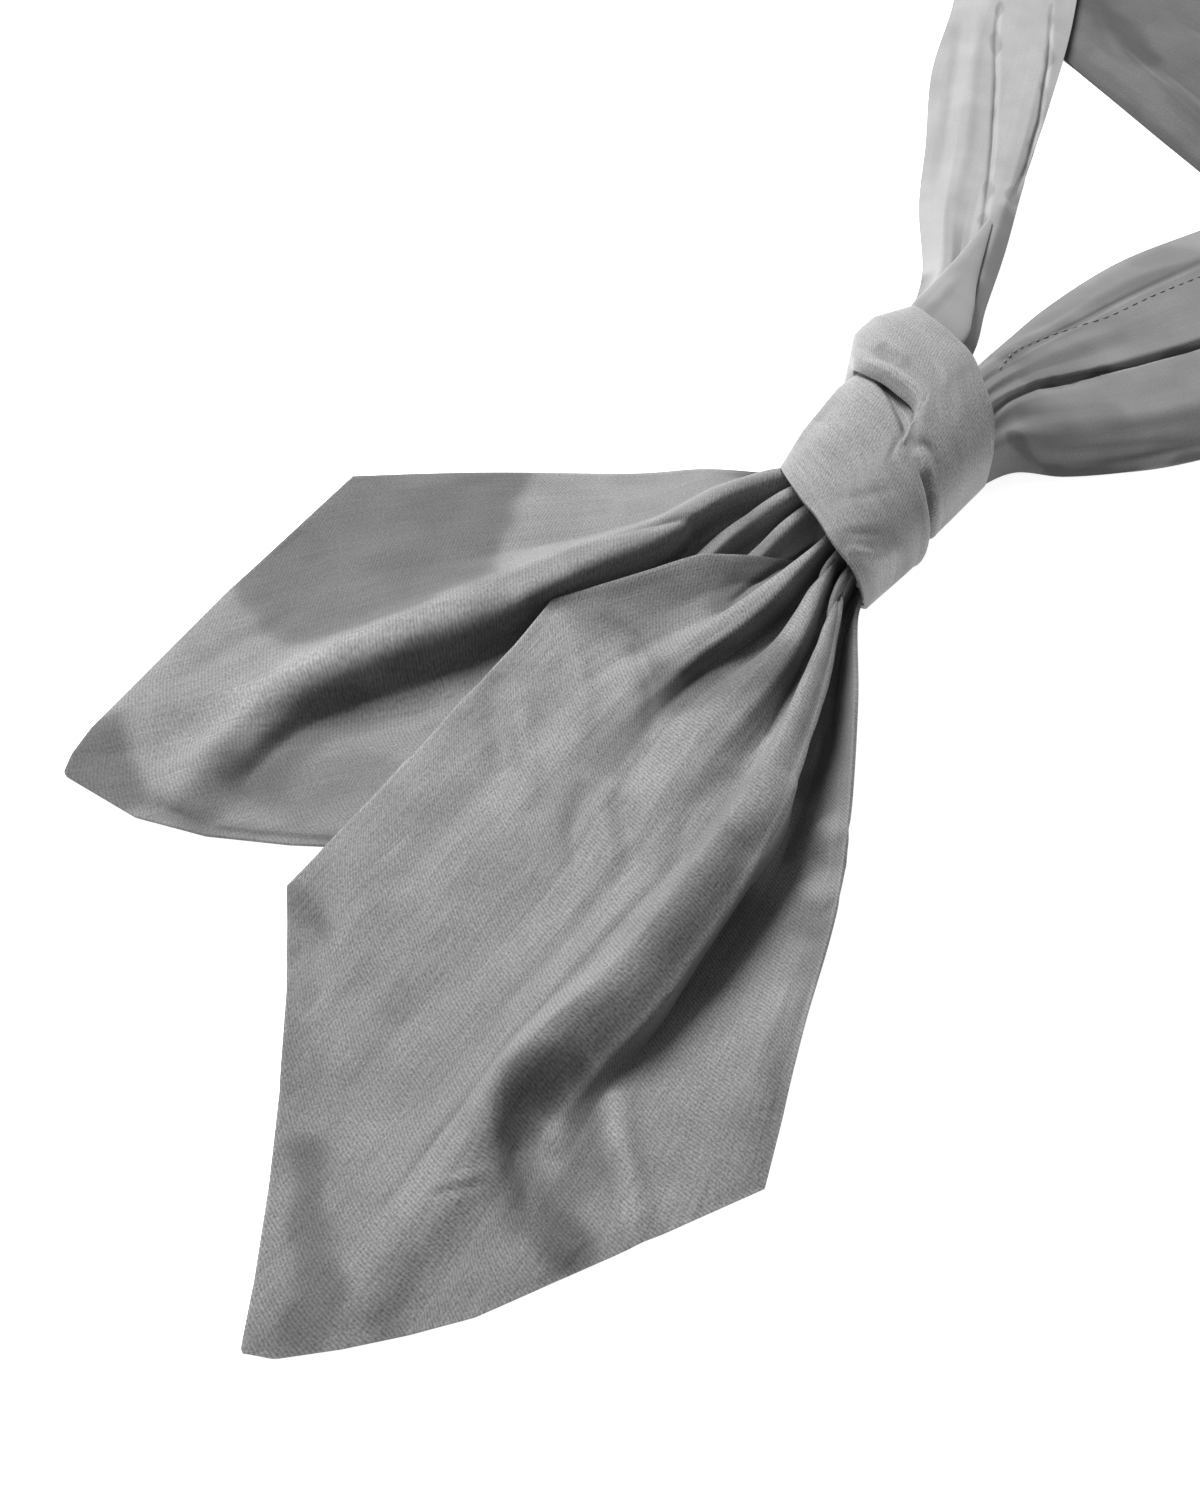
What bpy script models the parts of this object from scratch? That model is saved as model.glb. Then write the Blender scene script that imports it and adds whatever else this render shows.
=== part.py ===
"""Ascot tie: a wide strip of cloth with two pointed blades, tied in one knot and laid flat.

Metres, +Z up. The tie lies on z = 0. The knot's axis runs along +Y, towards the neck loop,
and both blades leave the knot towards -Y. The tables below are in millimetres, measured
from the middle of the knot, and MM turns them into metres.
"""
import bmesh
import bpy
import numpy as np

MM = 0.001

# Cloth
WALL = 1.0 * MM             # a folded cloth edge: two layers of the strip and the air between
WRAP_WALL = 1.5 * MM        # the same strip pulled tight round the knot, in several layers
GAP = 0.3 * MM              # between one piece and the next
REST = WALL / 2             # height of a wall's middle where the cloth rests on the floor
KNOT_AT = np.array([15.0, 1.0, 0.0]) * MM    # the knot's middle from the origin under the whole tie

# Points in each round turn of a fold, and rows along a piece
TURN_POINTS = 3
BLADE_ROWS = 22
STRAND_ROWS = 15
NECK_ROWS = 8
LOWER_ROWS = 9
UPPER_ROWS = 10
RING_POINTS = 36

# A section line runs from a piece's left edge to its right edge.
# Columns: left x, left y, right x, right y, round radius, crest share.
# The crest share is how much of the way to its neighbours a fold's top or bottom stays level.
FRONT_SECTIONS = {
    "throat": (2.6, -23.4, 18.4, -27.3, 1.0, 1.00),
    "mouth": (1.5, -31.5, 20, -33, 1.0, 0.95),
    "near": (-14, -48, 39, -54, 2.0, 0.70),
    "elbow": (-35, -79, 68, -92, 4.0, 0.40),
    "middle": (-30, -118, 85, -122, 4.5, 0.35),
    "low": (-25, -150, 97, -143, 4.5, 0.35),
    "corner": (-22, -177, 103, -154, 2.5, 0.35),
}
# A pointed end. Columns: tip x, tip y, how far its left edge bows out, how far its right edge does.
FRONT_TIP = (54.5, -254, 0, 6.3)

# A fold runs the length of a piece.
# Columns: share of the cut's width, then for each section the place across it and the height,
# then the height half way on to the pointed edge.
FRONT_FOLDS = {
    "left_edge": (0.00,
        (0.000, 12), (0.000, 13), (0.00, 12), (0.00, 7), (0.00, 5), (0.00, 4), (0.00, 2), 1),
    "left_trough": (0.12,
        (0.125, 5), (0.135, 6), (0.20, 6), (0.20, 5), (0.15, 5), (0.14, 4), (0.13, 3), 0),
    "first_ridge": (0.23,
        (0.250, 24), (0.27, 24), (0.39, 18), (0.34, 9), (0.30, 6), (0.27, 5), (0.26, 3.5), 1.2),
    "first_valley": (0.33,
        (0.375, 6), (0.39, 6), (0.48, 7), (0.46, 5), (0.43, 5), (0.40, 4.5), (0.38, 3), 0.5),
    "second_ridge": (0.42,
        (0.500, 23), (0.52, 23), (0.65, 19), (0.60, 13), (0.54, 8.5), (0.50, 7), (0.47, 4.5), 1),
    "middle_line": (0.50,
        (0.625, 8), (0.64, 8), (0.745, 11), (0.70, 14), (0.64, 12.5), (0.59, 10.5), (0.56, 7), 1.4),
    "main_ridge": (0.62,
        (0.750, 21), (0.76, 21), (0.85, 22), (0.855, 23), (0.775, 19), (0.68, 15.5), (0.65, 12), 4),
    "main_valley": (0.72,
        (0.875, 8), (0.88, 8), (0.93, 5), (0.915, 4), (0.83, 3), (0.74, 2), (0.71, 1.5), 0),
    "right_edge": (1.00,
        (1.000, 13), (1.00, 13), (1.00, 9), (1.00, 6), (1.00, 4), (1.00, 2.5), (1.00, 1), 0),
}

BACK_SECTIONS = {
    "throat": (-14, -19.2, 0.8, -22.9, 1.0, 1.00),
    "mouth": (-16, -24.5, 0.5, -33, 1.0, 0.95),
    "near": (-29, -28, 0, -44, 1.2, 0.85),
    "bend": (-50, -35, 3, -72, 3.0, 0.50),
    "middle": (-74, -54, 6, -99, 4.0, 0.40),
    "low": (-92, -70, 7, -119, 4.5, 0.35),
    "corner": (-106, -84, 8, -136, 2.5, 0.35),
}
BACK_TIP = (-85, -194, 0, 8.5)
BACK_FOLDS = {
    "top_edge": (0.00,
        (0.000, 17), (0.000, 18), (0.00, 16), (0.00, 9), (0.00, 4), (0.00, 2), (0.00, 1), 0),
    "top_trough": (0.22,
        (0.125, 8), (0.125, 8), (0.13, 9), (0.20, 6), (0.22, 4), (0.22, 3), (0.22, 2), 0.8),
    "long_ridge": (0.44,
        (0.250, 24), (0.250, 24), (0.26, 17), (0.39, 14), (0.425, 12), (0.45, 9), (0.45, 6), 2.5),
    "middle_line": (0.50,
        (0.375, 7), (0.375, 7), (0.38, 6), (0.48, 2), (0.505, 1), (0.53, 1), (0.58, 0.8), 0),
    "second_ridge": (0.60,
        (0.500, 25), (0.500, 23), (0.50, 13), (0.57, 4.5), (0.61, 1.4), (0.64, 1), (0.66, 0), 0),
    "second_valley": (0.68,
        (0.625, 7), (0.625, 7), (0.61, 5), (0.65, 2), (0.69, 0.8), (0.71, 0), (0.74, 0), 0),
    "third_ridge": (0.77,
        (0.750, 23), (0.750, 20), (0.72, 8.5), (0.73, 1.2), (0.77, 0), (0.79, 0), (0.81, 0), 0),
    "third_valley": (0.87,
        (0.875, 5), (0.875, 4), (0.86, 1.2), (0.84, 0), (0.87, 0), (0.88, 0), (0.90, 0), 0),
    "under_edge": (1.00,
        (1.000, 9), (1.000, 8), (1.00, 0.8), (1.00, 0), (1.00, 0), (1.00, 0), (1.00, 0), 0),
}

# The loop's two strands start inside the knot and end where the cloth folds over the neck's back.
LEFT_SECTIONS = {
    "knot": (-24.5, 34.4, -9.5, 28.1, 1.2, 0.80),
    "mouth": (-31, 50, -13.5, 52, 2.0, 0.60),
    "twist": (-47, 75, -26, 76, 2.0, 0.45),
    "spread": (-68, 99, -38, 100, 2.5, 0.40),
    "flat": (-84, 121, -52, 126, 2.5, 0.30),
    "middle": (-105, 149, -69, 160, 2.5, 0.30),
    "top": (-121, 178, -88, 196, 2.5, 0.30),
    "end": (-133, 197, -109, 230, 2.5, 0.30),
}
LEFT_FOLDS = {
    "left_edge": (0.00,
        (0.00, 13), (0.00, 13), (0.00, 6), (0.00, 3), (0.00, 2.4), (0.00, 2.2), (0.00, 2.2), (0.00, 2.2)),
    "pleat": (0.35,
        (0.25, 24), (0.30, 21), (0.33, 13), (0.36, 7), (0.36, 4.2), (0.35, 3.5), (0.35, 3.4), (0.35, 3.4)),
    "trough": (0.50,
        (0.50, 12), (0.48, 15), (0.48, 9), (0.50, 5), (0.50, 3), (0.48, 2.6), (0.48, 2.6), (0.48, 2.6)),
    "twist_crest": (0.75,
        (0.75, 23), (0.70, 21), (0.74, 15), (0.82, 11), (0.86, 7), (0.72, 4.6), (0.70, 4), (0.70, 4)),
    "right_edge": (1.00,
        (1.00, 11), (1.00, 12), (1.00, 7), (1.00, 4), (1.00, 3), (1.00, 3), (1.00, 2.6), (1.00, 2.4)),
}
RIGHT_SECTIONS = {
    "knot": (-7.3, 27.1, 13, 18.5, 1.1, 0.90),
    "mouth": (-9, 51, 17, 35, 2.0, 0.60),
    "fan": (-13, 70, 25, 46, 3.0, 0.50),
    "spread": (-15, 88, 35, 60, 3.5, 0.45),
    "middle": (-13, 117, 47, 79, 4.0, 0.45),
    "frame": (-5, 147, 58, 105, 4.0, 0.40),
    "bend": (10, 190, 67, 121, 4.0, 0.40),
    "end": (27, 231, 74, 135, 4.0, 0.40),
}
RIGHT_FOLDS = {
    "top_edge": (0.00,
        (0.00, 12), (0.00, 14), (0.00, 8), (0.00, 5), (0.00, 4), (0.00, 3), (0.00, 2.4), (0.00, 2.2)),
    "seam_ridge": (0.22,
        (0.20, 24), (0.22, 21), (0.24, 15), (0.24, 12), (0.24, 10), (0.24, 8), (0.24, 6), (0.24, 4)),
    "lobe_dip": (0.34,
        (0.40, 13), (0.36, 18), (0.35, 13), (0.35, 10.5), (0.35, 9), (0.35, 7), (0.35, 5), (0.35, 3.6)),
    "upper_lobe": (0.44,
        (0.60, 23), (0.46, 20), (0.45, 15), (0.45, 12), (0.45, 10), (0.45, 8), (0.45, 6), (0.45, 4)),
    "long_valley": (0.60,
        (0.75, 8), (0.60, 7), (0.58, 4), (0.58, 3), (0.59, 2.6), (0.60, 2.6), (0.60, 2.6), (0.60, 2.4)),
    "lower_lobe": (0.78,
        (0.90, 18), (0.78, 14), (0.77, 11), (0.77, 8.5), (0.78, 7), (0.79, 6), (0.79, 5), (0.79, 3.6)),
    "bottom_edge": (1.00,
        (1.00, 7), (1.00, 6), (1.00, 2), (1.00, 0), (1.00, 0), (1.00, 1.2), (1.00, 2.2), (1.00, 2.2)),
}

# The neck's back is one flat width of the strip, from the left strand's fold to the right one's.
NECK_SECTIONS = {
    "left_fold": (-133, 197, -110, 230, 2.0, 0.30),
    "under_left": (-84, 186, -74, 246, 2.0, 0.30),
    "middle": (-44, 177, -34, 249, 2.0, 0.30),
    "under_right": (-2, 167, -2, 245, 2.0, 0.30),
    "right_fold": (73, 136, 28, 230, 2.0, 0.30),
}
NECK_FOLDS = {
    "inner_edge": (0.00, (0.00, 0), (0.00, 0), (0.00, 0), (0.00, 0), (0.00, 0)),
    "inner_ridge": (0.20, (0.20, 0), (0.16, 0), (0.20, 3), (0.18, 0), (0.20, 0)),
    "inner_valley": (0.34, (0.34, 0), (0.30, 0), (0.33, 1), (0.32, 0), (0.34, 0)),
    "middle_ridge": (0.50, (0.50, 0), (0.46, 0), (0.50, 4), (0.50, 0), (0.50, 0)),
    "outer_valley": (0.70, (0.70, 0), (0.66, 0), (0.68, 0.8), (0.70, 0), (0.70, 0)),
    "outer_ridge": (0.84, (0.84, 0), (0.82, 0), (0.83, 2.4), (0.84, 0), (0.84, 0)),
    "outer_edge": (1.00, (1.00, 0), (1.00, 0), (1.00, 0), (1.00, 0), (1.00, 0)),
}

# Where the last two sections of a pointed piece lie, as shares of the way on to its edge.
PLACES_TO_TIP = (0.25, 0.5)
ROW_LEAN = 1.12             # rows lie closer together near the knot than at the far end, above 1
ARC_ROOM = 0.42             # the most of a fold's side that one rounded corner may use
LEAST_ARC = 0.5             # the least, as a share of that

# A knot ring is a rounded outline with a flat underside.
ROUNDNESS = 2.5             # 2 is an ellipse, more is squarer
UNDERCUT = 1.06             # how far the outline would reach past its flat underside
TUCK = 3.8                  # how deep a wrap's edge dips under the other wrap
TUCK_REACH = 0.4            # the share of the wrap's length over which it dips
TUCK_PITCH = 1.6            # how soon it is at its full depth, 1 is only at the edge

# Columns: share of the way from a wrap's first edge to its second, left x, right x, top z.
LOWER_RINGS = (
    (0.0, -16.5, 21.3, 30.8),
    (0.3, -18.5, 21.4, 32.0),
    (0.7, -20.5, 21.6, 32.4),
    (1.0, -22.0, 21.4, 32.0),
)
UPPER_RINGS = (
    (0.00, -22.8, 21.2, 32.6),
    (0.15, -25.0, 21.6, 33.4),
    (0.35, -31.0, 21.6, 34.0),
    (0.60, -32.4, 21.2, 34.0),
    (1.00, -30.0, 19.0, 31.5),
)
# Columns: y at x = 0, slant (y lost for each x), left x, right x, top z.
CORE_RINGS = (
    (-21.9, 0.25, -13.0, 17.0, 28.0),
    (-8.0, 0.20, -15.2, 15.2, 26.6),
    (11.0, 0.20, -16.2, 15.4, 26.6),
    (17.0, 0.30, -20.5, 16.0, 28.0),
    (23.3, 0.42, -25.0, 15.0, 27.6),
)

# Where each wrap's edge lies. Columns: angle round the knot from +X over the top, y.
THROAT_EDGE = (
    (0, -32), (35, -33), (64, -32), (92, -30), (105, -27.5),
    (150, -22), (180, -20), (215, -22), (270, -27), (325, -31),
)
LOWER_TOP_EDGE = (
    (0, -5), (30, -3.5), (55, -1), (78, 5), (95, 9), (108, 13),
    (140, 14.5), (180, 13.5), (215, 7), (270, -1), (325, -5),
)
UPPER_LOW_EDGE = (
    (0, -11), (30, -10), (52, -6), (64, 4.5), (76, 10), (92, 12.5),
    (130, 11), (180, 10), (215, 11), (270, 3), (325, -3), (342, -9),
)
FAR_EDGE = (
    (0, 22), (22, 24), (45, 28), (66, 32), (86, 37), (118, 41),
    (150, 45), (180, 45), (215, 41), (270, 33), (325, 25),
)
# Angles where a wrap starts to dip, is fully under, leaves again and is out.
LOWER_TUCKED = (84, 99, 207, 222)
UPPER_TUCKED = (-42, -27, 60, 74)

COLOURS = {
    "front_blade": (0.30, 0.30, 0.30),
    "back_blade": (0.28, 0.28, 0.28),
    "knot_core": (0.20, 0.20, 0.20),
    "knot_wrap_lower": (0.32, 0.32, 0.32),
    "knot_wrap_upper": (0.33, 0.33, 0.33),
    "strand_left": (0.34, 0.34, 0.34),
    "strand_right": (0.27, 0.27, 0.27),
    "neck_back": (0.25, 0.25, 0.25),
}
ROUGHNESS = 0.7


def clear_scene():
    """Remove whatever the file opens with."""
    for obj in list(bpy.data.objects):
        bpy.data.objects.remove(obj, do_unlink=True)


def cloth_material(name):
    """A matt woven grey for one piece."""
    material = bpy.data.materials.new(name + "_cloth")
    material.use_nodes = True
    shader = material.node_tree.nodes["Principled BSDF"]
    shader.inputs["Base Color"].default_value = (*COLOURS[name], 1.0)
    shader.inputs["Roughness"].default_value = ROUGHNESS
    shader.inputs["Metallic"].default_value = 0.0
    return material


def curve_through(knots, points, places):
    """Read a smooth curve through points, which lie at the given knots, at each of the places."""
    knots = np.asarray(knots, float)
    points = np.asarray(points, float)
    slopes = np.gradient(points, knots, axis=0)
    left = np.clip(np.searchsorted(knots, places, side="right") - 1, 0, len(knots) - 2)
    span = (knots[left + 1] - knots[left])[:, None]
    t = (places[:, None] - knots[left][:, None]) / span
    start = (2 * t**3 - 3 * t**2 + 1) * points[left] + (t**3 - 2 * t**2 + t) * span * slopes[left]
    end = (3 * t**2 - 2 * t**3) * points[left + 1] + (t**3 - t**2) * span * slopes[left + 1]
    return start + end


def lengths_along(points):
    """The distance travelled at each point of a chain, starting at 0."""
    steps = np.linalg.norm(np.diff(points, axis=0), axis=1)
    return np.concatenate([[0.0], np.cumsum(steps)])


def rounded_chains(corners, radius):
    """Round every inner corner of each row's chain to an arc. corners is rows x corners x 3."""
    columns = [corners[:, 0]]
    turns = np.linspace(0.0, 1.0, TURN_POINTS)
    for k in range(1, corners.shape[1] - 1):
        back = corners[:, k - 1] - corners[:, k]
        ahead = corners[:, k + 1] - corners[:, k]
        back_length = np.linalg.norm(back, axis=1, keepdims=True)
        ahead_length = np.linalg.norm(ahead, axis=1, keepdims=True)
        back = back / back_length
        ahead = ahead / ahead_length
        cosine = np.clip((back * ahead).sum(axis=1, keepdims=True), -0.9999, 0.9999)
        half_angle = 0.5 * np.arccos(cosine)
        room = ARC_ROOM * np.minimum(back_length, ahead_length)
        trim = np.clip(radius / np.tan(half_angle), LEAST_ARC * room, room)
        first = corners[:, k] + back * trim
        last = corners[:, k] + ahead * trim
        weight = np.sin(half_angle)
        for t in turns:
            shares = ((1 - t) ** 2, 2 * weight * t * (1 - t), t**2)
            total = shares[0] + shares[1] + shares[2]
            columns.append((shares[0] * first + shares[1] * corners[:, k] + shares[2] * last) / total)
    columns.append(corners[:, -1])
    return np.stack(columns, axis=1)


def pointed_edge(last_section, share, tip):
    """Where a fold meets the pointed end, whose two edges may bow out a little."""
    on_left = share <= 0.5
    corner = np.array(last_section[0:2] if on_left else last_section[2:4], float)
    edge = np.array(tip[0:2]) - corner
    part = 2 * share if on_left else 2 * (1 - share)
    outward = np.array([edge[1], -edge[0]]) / np.linalg.norm(edge) * (1 if on_left else -1)
    bow = (tip[2] if on_left else tip[3]) * 4 * part * (1 - part)
    x, y = corner + part * edge + bow * outward
    return np.array([x, y, REST / MM])


def fold_points(sections, heights, share, tip):
    """One fold's points, section by section, then on to the pointed edge where there is a tip."""
    points = []
    for (left_x, left_y, right_x, right_y, _, _), (place, height) in zip(sections, heights):
        x = left_x + place * (right_x - left_x)
        y = left_y + place * (right_y - left_y)
        points.append((x, y, max(height, REST / MM)))
    if tip is not None and 0.0 < share < 1.0:
        end = pointed_edge(sections[-1], share, tip)
        half_way = 0.5 * (np.array(points[-1]) + end)
        half_way[2] = max(heights[-1], REST / MM)
        points.extend([half_way, end])
    return np.array(points, float) * MM


def cloth_grid(section_table, fold_table, rows, tip=None):
    """Rows of points for a pleated piece, from its first section to its end."""
    sections = list(section_table.values())
    folds = [fold_points(sections, row[1:], row[0], tip) for row in fold_table.values()]
    # The first sections are shared by all folds. Past them each fold is read by its own length.
    shared = len(sections) - 3 if tip is not None else len(sections) - 1
    middle = np.mean([lengths_along(points[:shared + 1]) for points in folds], axis=0)
    rest = np.mean([lengths_along(points[shared:])[-1] for points in folds])
    total = middle[-1] + rest
    places = total * np.linspace(0.0, 1.0, rows) ** ROW_LEAN
    lines = []
    for points in folds:
        beyond = lengths_along(points[shared:])
        scale = rest / beyond[-1] if beyond[-1] > 0 else 0.0
        knots = np.concatenate([middle, middle[-1] + beyond[1:] * scale])
        lines.append(curve_through(knots, points, places))
    lines = np.stack(lines, axis=1)
    toward_tip = rest * np.array(PLACES_TO_TIP if tip is not None else ())
    section_knots = np.concatenate([middle, middle[-1] + toward_tip])
    radius = np.interp(places, section_knots, [row[4] for row in sections])[:, None] * MM
    crest = np.interp(places, section_knots, [row[5] for row in sections])[:, None]
    corners = [lines[:, 0]]
    for k in range(1, lines.shape[1] - 1):
        for neighbour in (lines[:, k - 1], lines[:, k + 1]):
            level = lines[:, k] + 0.5 * crest * (neighbour - lines[:, k])
            level[:, 2] = lines[:, k, 2]
            corners.append(level)
    corners.append(lines[:, -1])
    grid = rounded_chains(np.stack(corners, axis=1), radius)
    grid[:, :, 2] = np.maximum(grid[:, :, 2], REST)
    return grid


def periodic(table, angles):
    """Read a table of (angle, value) rows round a full turn, smoothly."""
    table = sorted(table)
    knots = np.array([a for a, _ in table], float)
    values = np.array([v for _, v in table], float)
    knots = np.concatenate([knots - 360, knots, knots + 360])
    values = np.concatenate([values, values, values])
    return curve_through(knots, values[:, None], angles)[:, 0]


def ring(left, right, top, angles, floor, shrink=0.0):
    """A rounded outline in x and z with a flat underside at height floor."""
    middle_x = 0.5 * (left + right)
    middle_z = 0.5 * (top + floor)
    half_width = 0.5 * (right - left) - shrink
    half_height = 0.5 * (top - floor) * UNDERCUT - shrink
    cosine = np.cos(np.radians(angles))
    sine = np.sin(np.radians(angles))
    x = middle_x + half_width * np.sign(cosine) * np.abs(cosine) ** (2 / ROUNDNESS)
    z = middle_z + half_height * np.sign(sine) * np.abs(sine) ** (2 / ROUNDNESS)
    return x, np.maximum(z, floor)


def tucked(angles, limits):
    """1 where a wrap's edge lies under the other wrap, 0 where it is on top, eased between."""
    turned = np.mod(angles - limits[0], 360.0)
    start, full, leave, out = (limit - limits[0] for limit in limits)
    rising = np.clip(turned / (full - start), 0, 1)
    falling = np.clip((out - turned) / (out - leave), 0, 1)
    amount = np.minimum(rising, falling)
    return amount * amount * (3 - 2 * amount)


def wrap_grid(rings, first_edge, second_edge, dip_limits, dip_at_start, rows):
    """Rows of points round the knot, from one edge of a wrap to the other."""
    angles = np.linspace(0.0, 360.0, RING_POINTS + 1)
    first = periodic(first_edge, angles)
    second = periodic(second_edge, angles)
    shares = [row[0] for row in rings]
    dip = tucked(angles, dip_limits)
    grid = []
    for v in np.linspace(0.0, 1.0, rows):
        left, right, top = (np.interp(v, shares, [row[c] for row in rings]) for c in (1, 2, 3))
        from_edge = v if dip_at_start else 1.0 - v
        depth = np.clip((1.0 - from_edge / TUCK_REACH) * TUCK_PITCH, 0.0, 1.0)
        shrink = TUCK * dip * depth
        x, z = ring(left, right, top, angles, WRAP_WALL / 2 / MM, shrink)
        grid.append(np.stack([x, first + v * (second - first), z], axis=1))
    return np.array(grid) * MM


def core_grid():
    """Rings of the solid inside the knot."""
    angles = np.linspace(0.0, 360.0, RING_POINTS + 1)
    grid = []
    for y, slant, left, right, top in CORE_RINGS:
        x, z = ring(left, right, top, angles, (WRAP_WALL + GAP) / MM)
        grid.append(np.stack([x, y - slant * x, z], axis=1))
    return np.array(grid) * MM


def grid_mesh(name, grid, closed=False, capped=False):
    """A mesh of quads on rows of points. A closed one meets itself, a capped one has end faces."""
    rows, columns = grid.shape[:2]
    mesh = bpy.data.meshes.new(name)
    bm = bmesh.new()
    bmesh.ops.create_grid(bm, x_segments=columns - 1, y_segments=rows - 1, size=1.0)
    for vert in bm.verts:
        column = round((vert.co.x + 1) / 2 * (columns - 1))
        row = round((vert.co.y + 1) / 2 * (rows - 1))
        vert.co = grid[row, column] + KNOT_AT
    if closed:
        bmesh.ops.remove_doubles(bm, verts=bm.verts, dist=0.01 * MM)
    if capped:
        bmesh.ops.holes_fill(bm, edges=[edge for edge in bm.edges if edge.is_boundary])
    bmesh.ops.recalc_face_normals(bm, faces=bm.faces)
    bm.to_mesh(mesh)
    bm.free()
    mesh.shade_smooth()
    return mesh


def add_piece(collection, name, mesh, wall=None):
    """One named piece of the tie, thickened about its middle where it is a wall."""
    mesh.materials.append(cloth_material(name))
    piece = bpy.data.objects.new(name, mesh)
    collection.objects.link(piece)
    if wall is not None:
        solidify = piece.modifiers.new("wall", "SOLIDIFY")
        solidify.thickness = wall
        solidify.offset = 0.0
        solidify.use_even_offset = False
        solidify.use_rim = True
    return piece


def build_tie():
    clear_scene()
    tie = bpy.data.collections.new("ascot_tie")
    bpy.context.scene.collection.children.link(tie)

    walls = {
        "front_blade": cloth_grid(FRONT_SECTIONS, FRONT_FOLDS, BLADE_ROWS, FRONT_TIP),
        "back_blade": cloth_grid(BACK_SECTIONS, BACK_FOLDS, BLADE_ROWS, BACK_TIP),
        "strand_left": cloth_grid(LEFT_SECTIONS, LEFT_FOLDS, STRAND_ROWS),
        "strand_right": cloth_grid(RIGHT_SECTIONS, RIGHT_FOLDS, STRAND_ROWS),
        "neck_back": cloth_grid(NECK_SECTIONS, NECK_FOLDS, NECK_ROWS),
    }
    for name, grid in walls.items():
        add_piece(tie, name, grid_mesh(name, grid), WALL)

    lower = wrap_grid(LOWER_RINGS, THROAT_EDGE, LOWER_TOP_EDGE, LOWER_TUCKED, False, LOWER_ROWS)
    upper = wrap_grid(UPPER_RINGS, UPPER_LOW_EDGE, FAR_EDGE, UPPER_TUCKED, True, UPPER_ROWS)
    add_piece(tie, "knot_wrap_lower", grid_mesh("knot_wrap_lower", lower, closed=True), WRAP_WALL)
    add_piece(tie, "knot_wrap_upper", grid_mesh("knot_wrap_upper", upper, closed=True), WRAP_WALL)
    add_piece(tie, "knot_core", grid_mesh("knot_core", core_grid(), closed=True, capped=True))


build_tie()
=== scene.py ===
# %% [markdown]
# # A grey ascot tie, tied in one knot and laid on a white table
#
# An ascot is one long strip of woven cloth that ends in two wide, pointed blades. Here it is tied once
# and laid down, so what the eye sees is folds: pleats that fan out of the knot, one long soft ridge on
# each blade, and a neck loop that turns over itself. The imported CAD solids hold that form. This lesson
# dresses each of them in a finer sheet with creases, stitches and a woven finish.

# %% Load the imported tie
import math

import bmesh
import bpy
import numpy as np
from mathutils import Matrix, Vector, noise


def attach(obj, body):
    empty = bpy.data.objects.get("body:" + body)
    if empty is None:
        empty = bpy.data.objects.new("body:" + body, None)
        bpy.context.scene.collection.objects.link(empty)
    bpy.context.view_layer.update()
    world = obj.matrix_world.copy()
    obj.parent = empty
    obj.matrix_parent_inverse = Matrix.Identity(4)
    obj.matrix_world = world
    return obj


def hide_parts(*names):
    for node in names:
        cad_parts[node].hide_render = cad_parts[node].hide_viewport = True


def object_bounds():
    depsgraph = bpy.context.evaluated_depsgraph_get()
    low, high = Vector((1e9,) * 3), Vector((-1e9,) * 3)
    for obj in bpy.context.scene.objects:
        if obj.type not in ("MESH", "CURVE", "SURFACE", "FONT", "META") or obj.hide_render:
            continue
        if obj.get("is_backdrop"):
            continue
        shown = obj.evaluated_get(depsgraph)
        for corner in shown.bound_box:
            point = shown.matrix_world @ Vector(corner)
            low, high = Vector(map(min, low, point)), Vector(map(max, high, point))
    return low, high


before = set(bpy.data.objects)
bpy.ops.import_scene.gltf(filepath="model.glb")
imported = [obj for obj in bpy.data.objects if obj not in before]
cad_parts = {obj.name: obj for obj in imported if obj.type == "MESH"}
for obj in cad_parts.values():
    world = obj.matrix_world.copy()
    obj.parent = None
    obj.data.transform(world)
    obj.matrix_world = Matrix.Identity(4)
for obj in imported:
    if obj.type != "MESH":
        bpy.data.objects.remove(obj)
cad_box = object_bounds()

MM = 0.001
KNOT_AT = np.array([15.0, 1.0, 0.0]) * MM
print("nodes:", ", ".join(sorted(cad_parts)))
print("size in mm:", [round((b - a) / MM, 1) for a, b in zip(*cad_box)])

# %% [markdown]
# ## The camera
#
# The photograph looks down at about 55 degrees from one corner of the knot, close enough that the neck
# loop leaves the frame. A normal 50 mm lens does the same. It comes first, because every later choice is
# judged through it.

# %% Camera
def add_object(name, data):
    """Add an object that holds the data to the scene, at the origin."""
    added = bpy.data.objects.new(name, data)
    bpy.context.scene.collection.objects.link(added)
    return added


CAMERA_AT = Vector((0.21588, -0.29889, 0.405))
CAMERA_LOOKS = Vector((-0.40558, 0.40558, -0.81915))
camera_data = bpy.data.cameras.new("camera")
camera_data.lens = 50
camera_data.sensor_width = 36
camera = add_object("camera", camera_data)
camera.location = CAMERA_AT
camera.rotation_mode = "QUATERNION"
camera.rotation_quaternion = CAMERA_LOOKS.to_track_quat("-Z", "Y")
bpy.context.scene.camera = camera
print("camera looks down by", round(math.degrees(math.asin(-CAMERA_LOOKS.z))), "degrees")

# %% [markdown]
# ## Table and light
#
# The tie lies on a bright white surface that shows no shadow. A large soft lamp on one side, behind
# the left blade, gives the ridges a light side and a dark side. A white sky fills the shadows a little,
# and the table throws light back up under the cloth.

# %% Table, lamp and sky
def set_inputs(node, values):
    """Set sockets of a node by name."""
    for key, value in values.items():
        node.inputs[key].default_value = value


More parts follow.
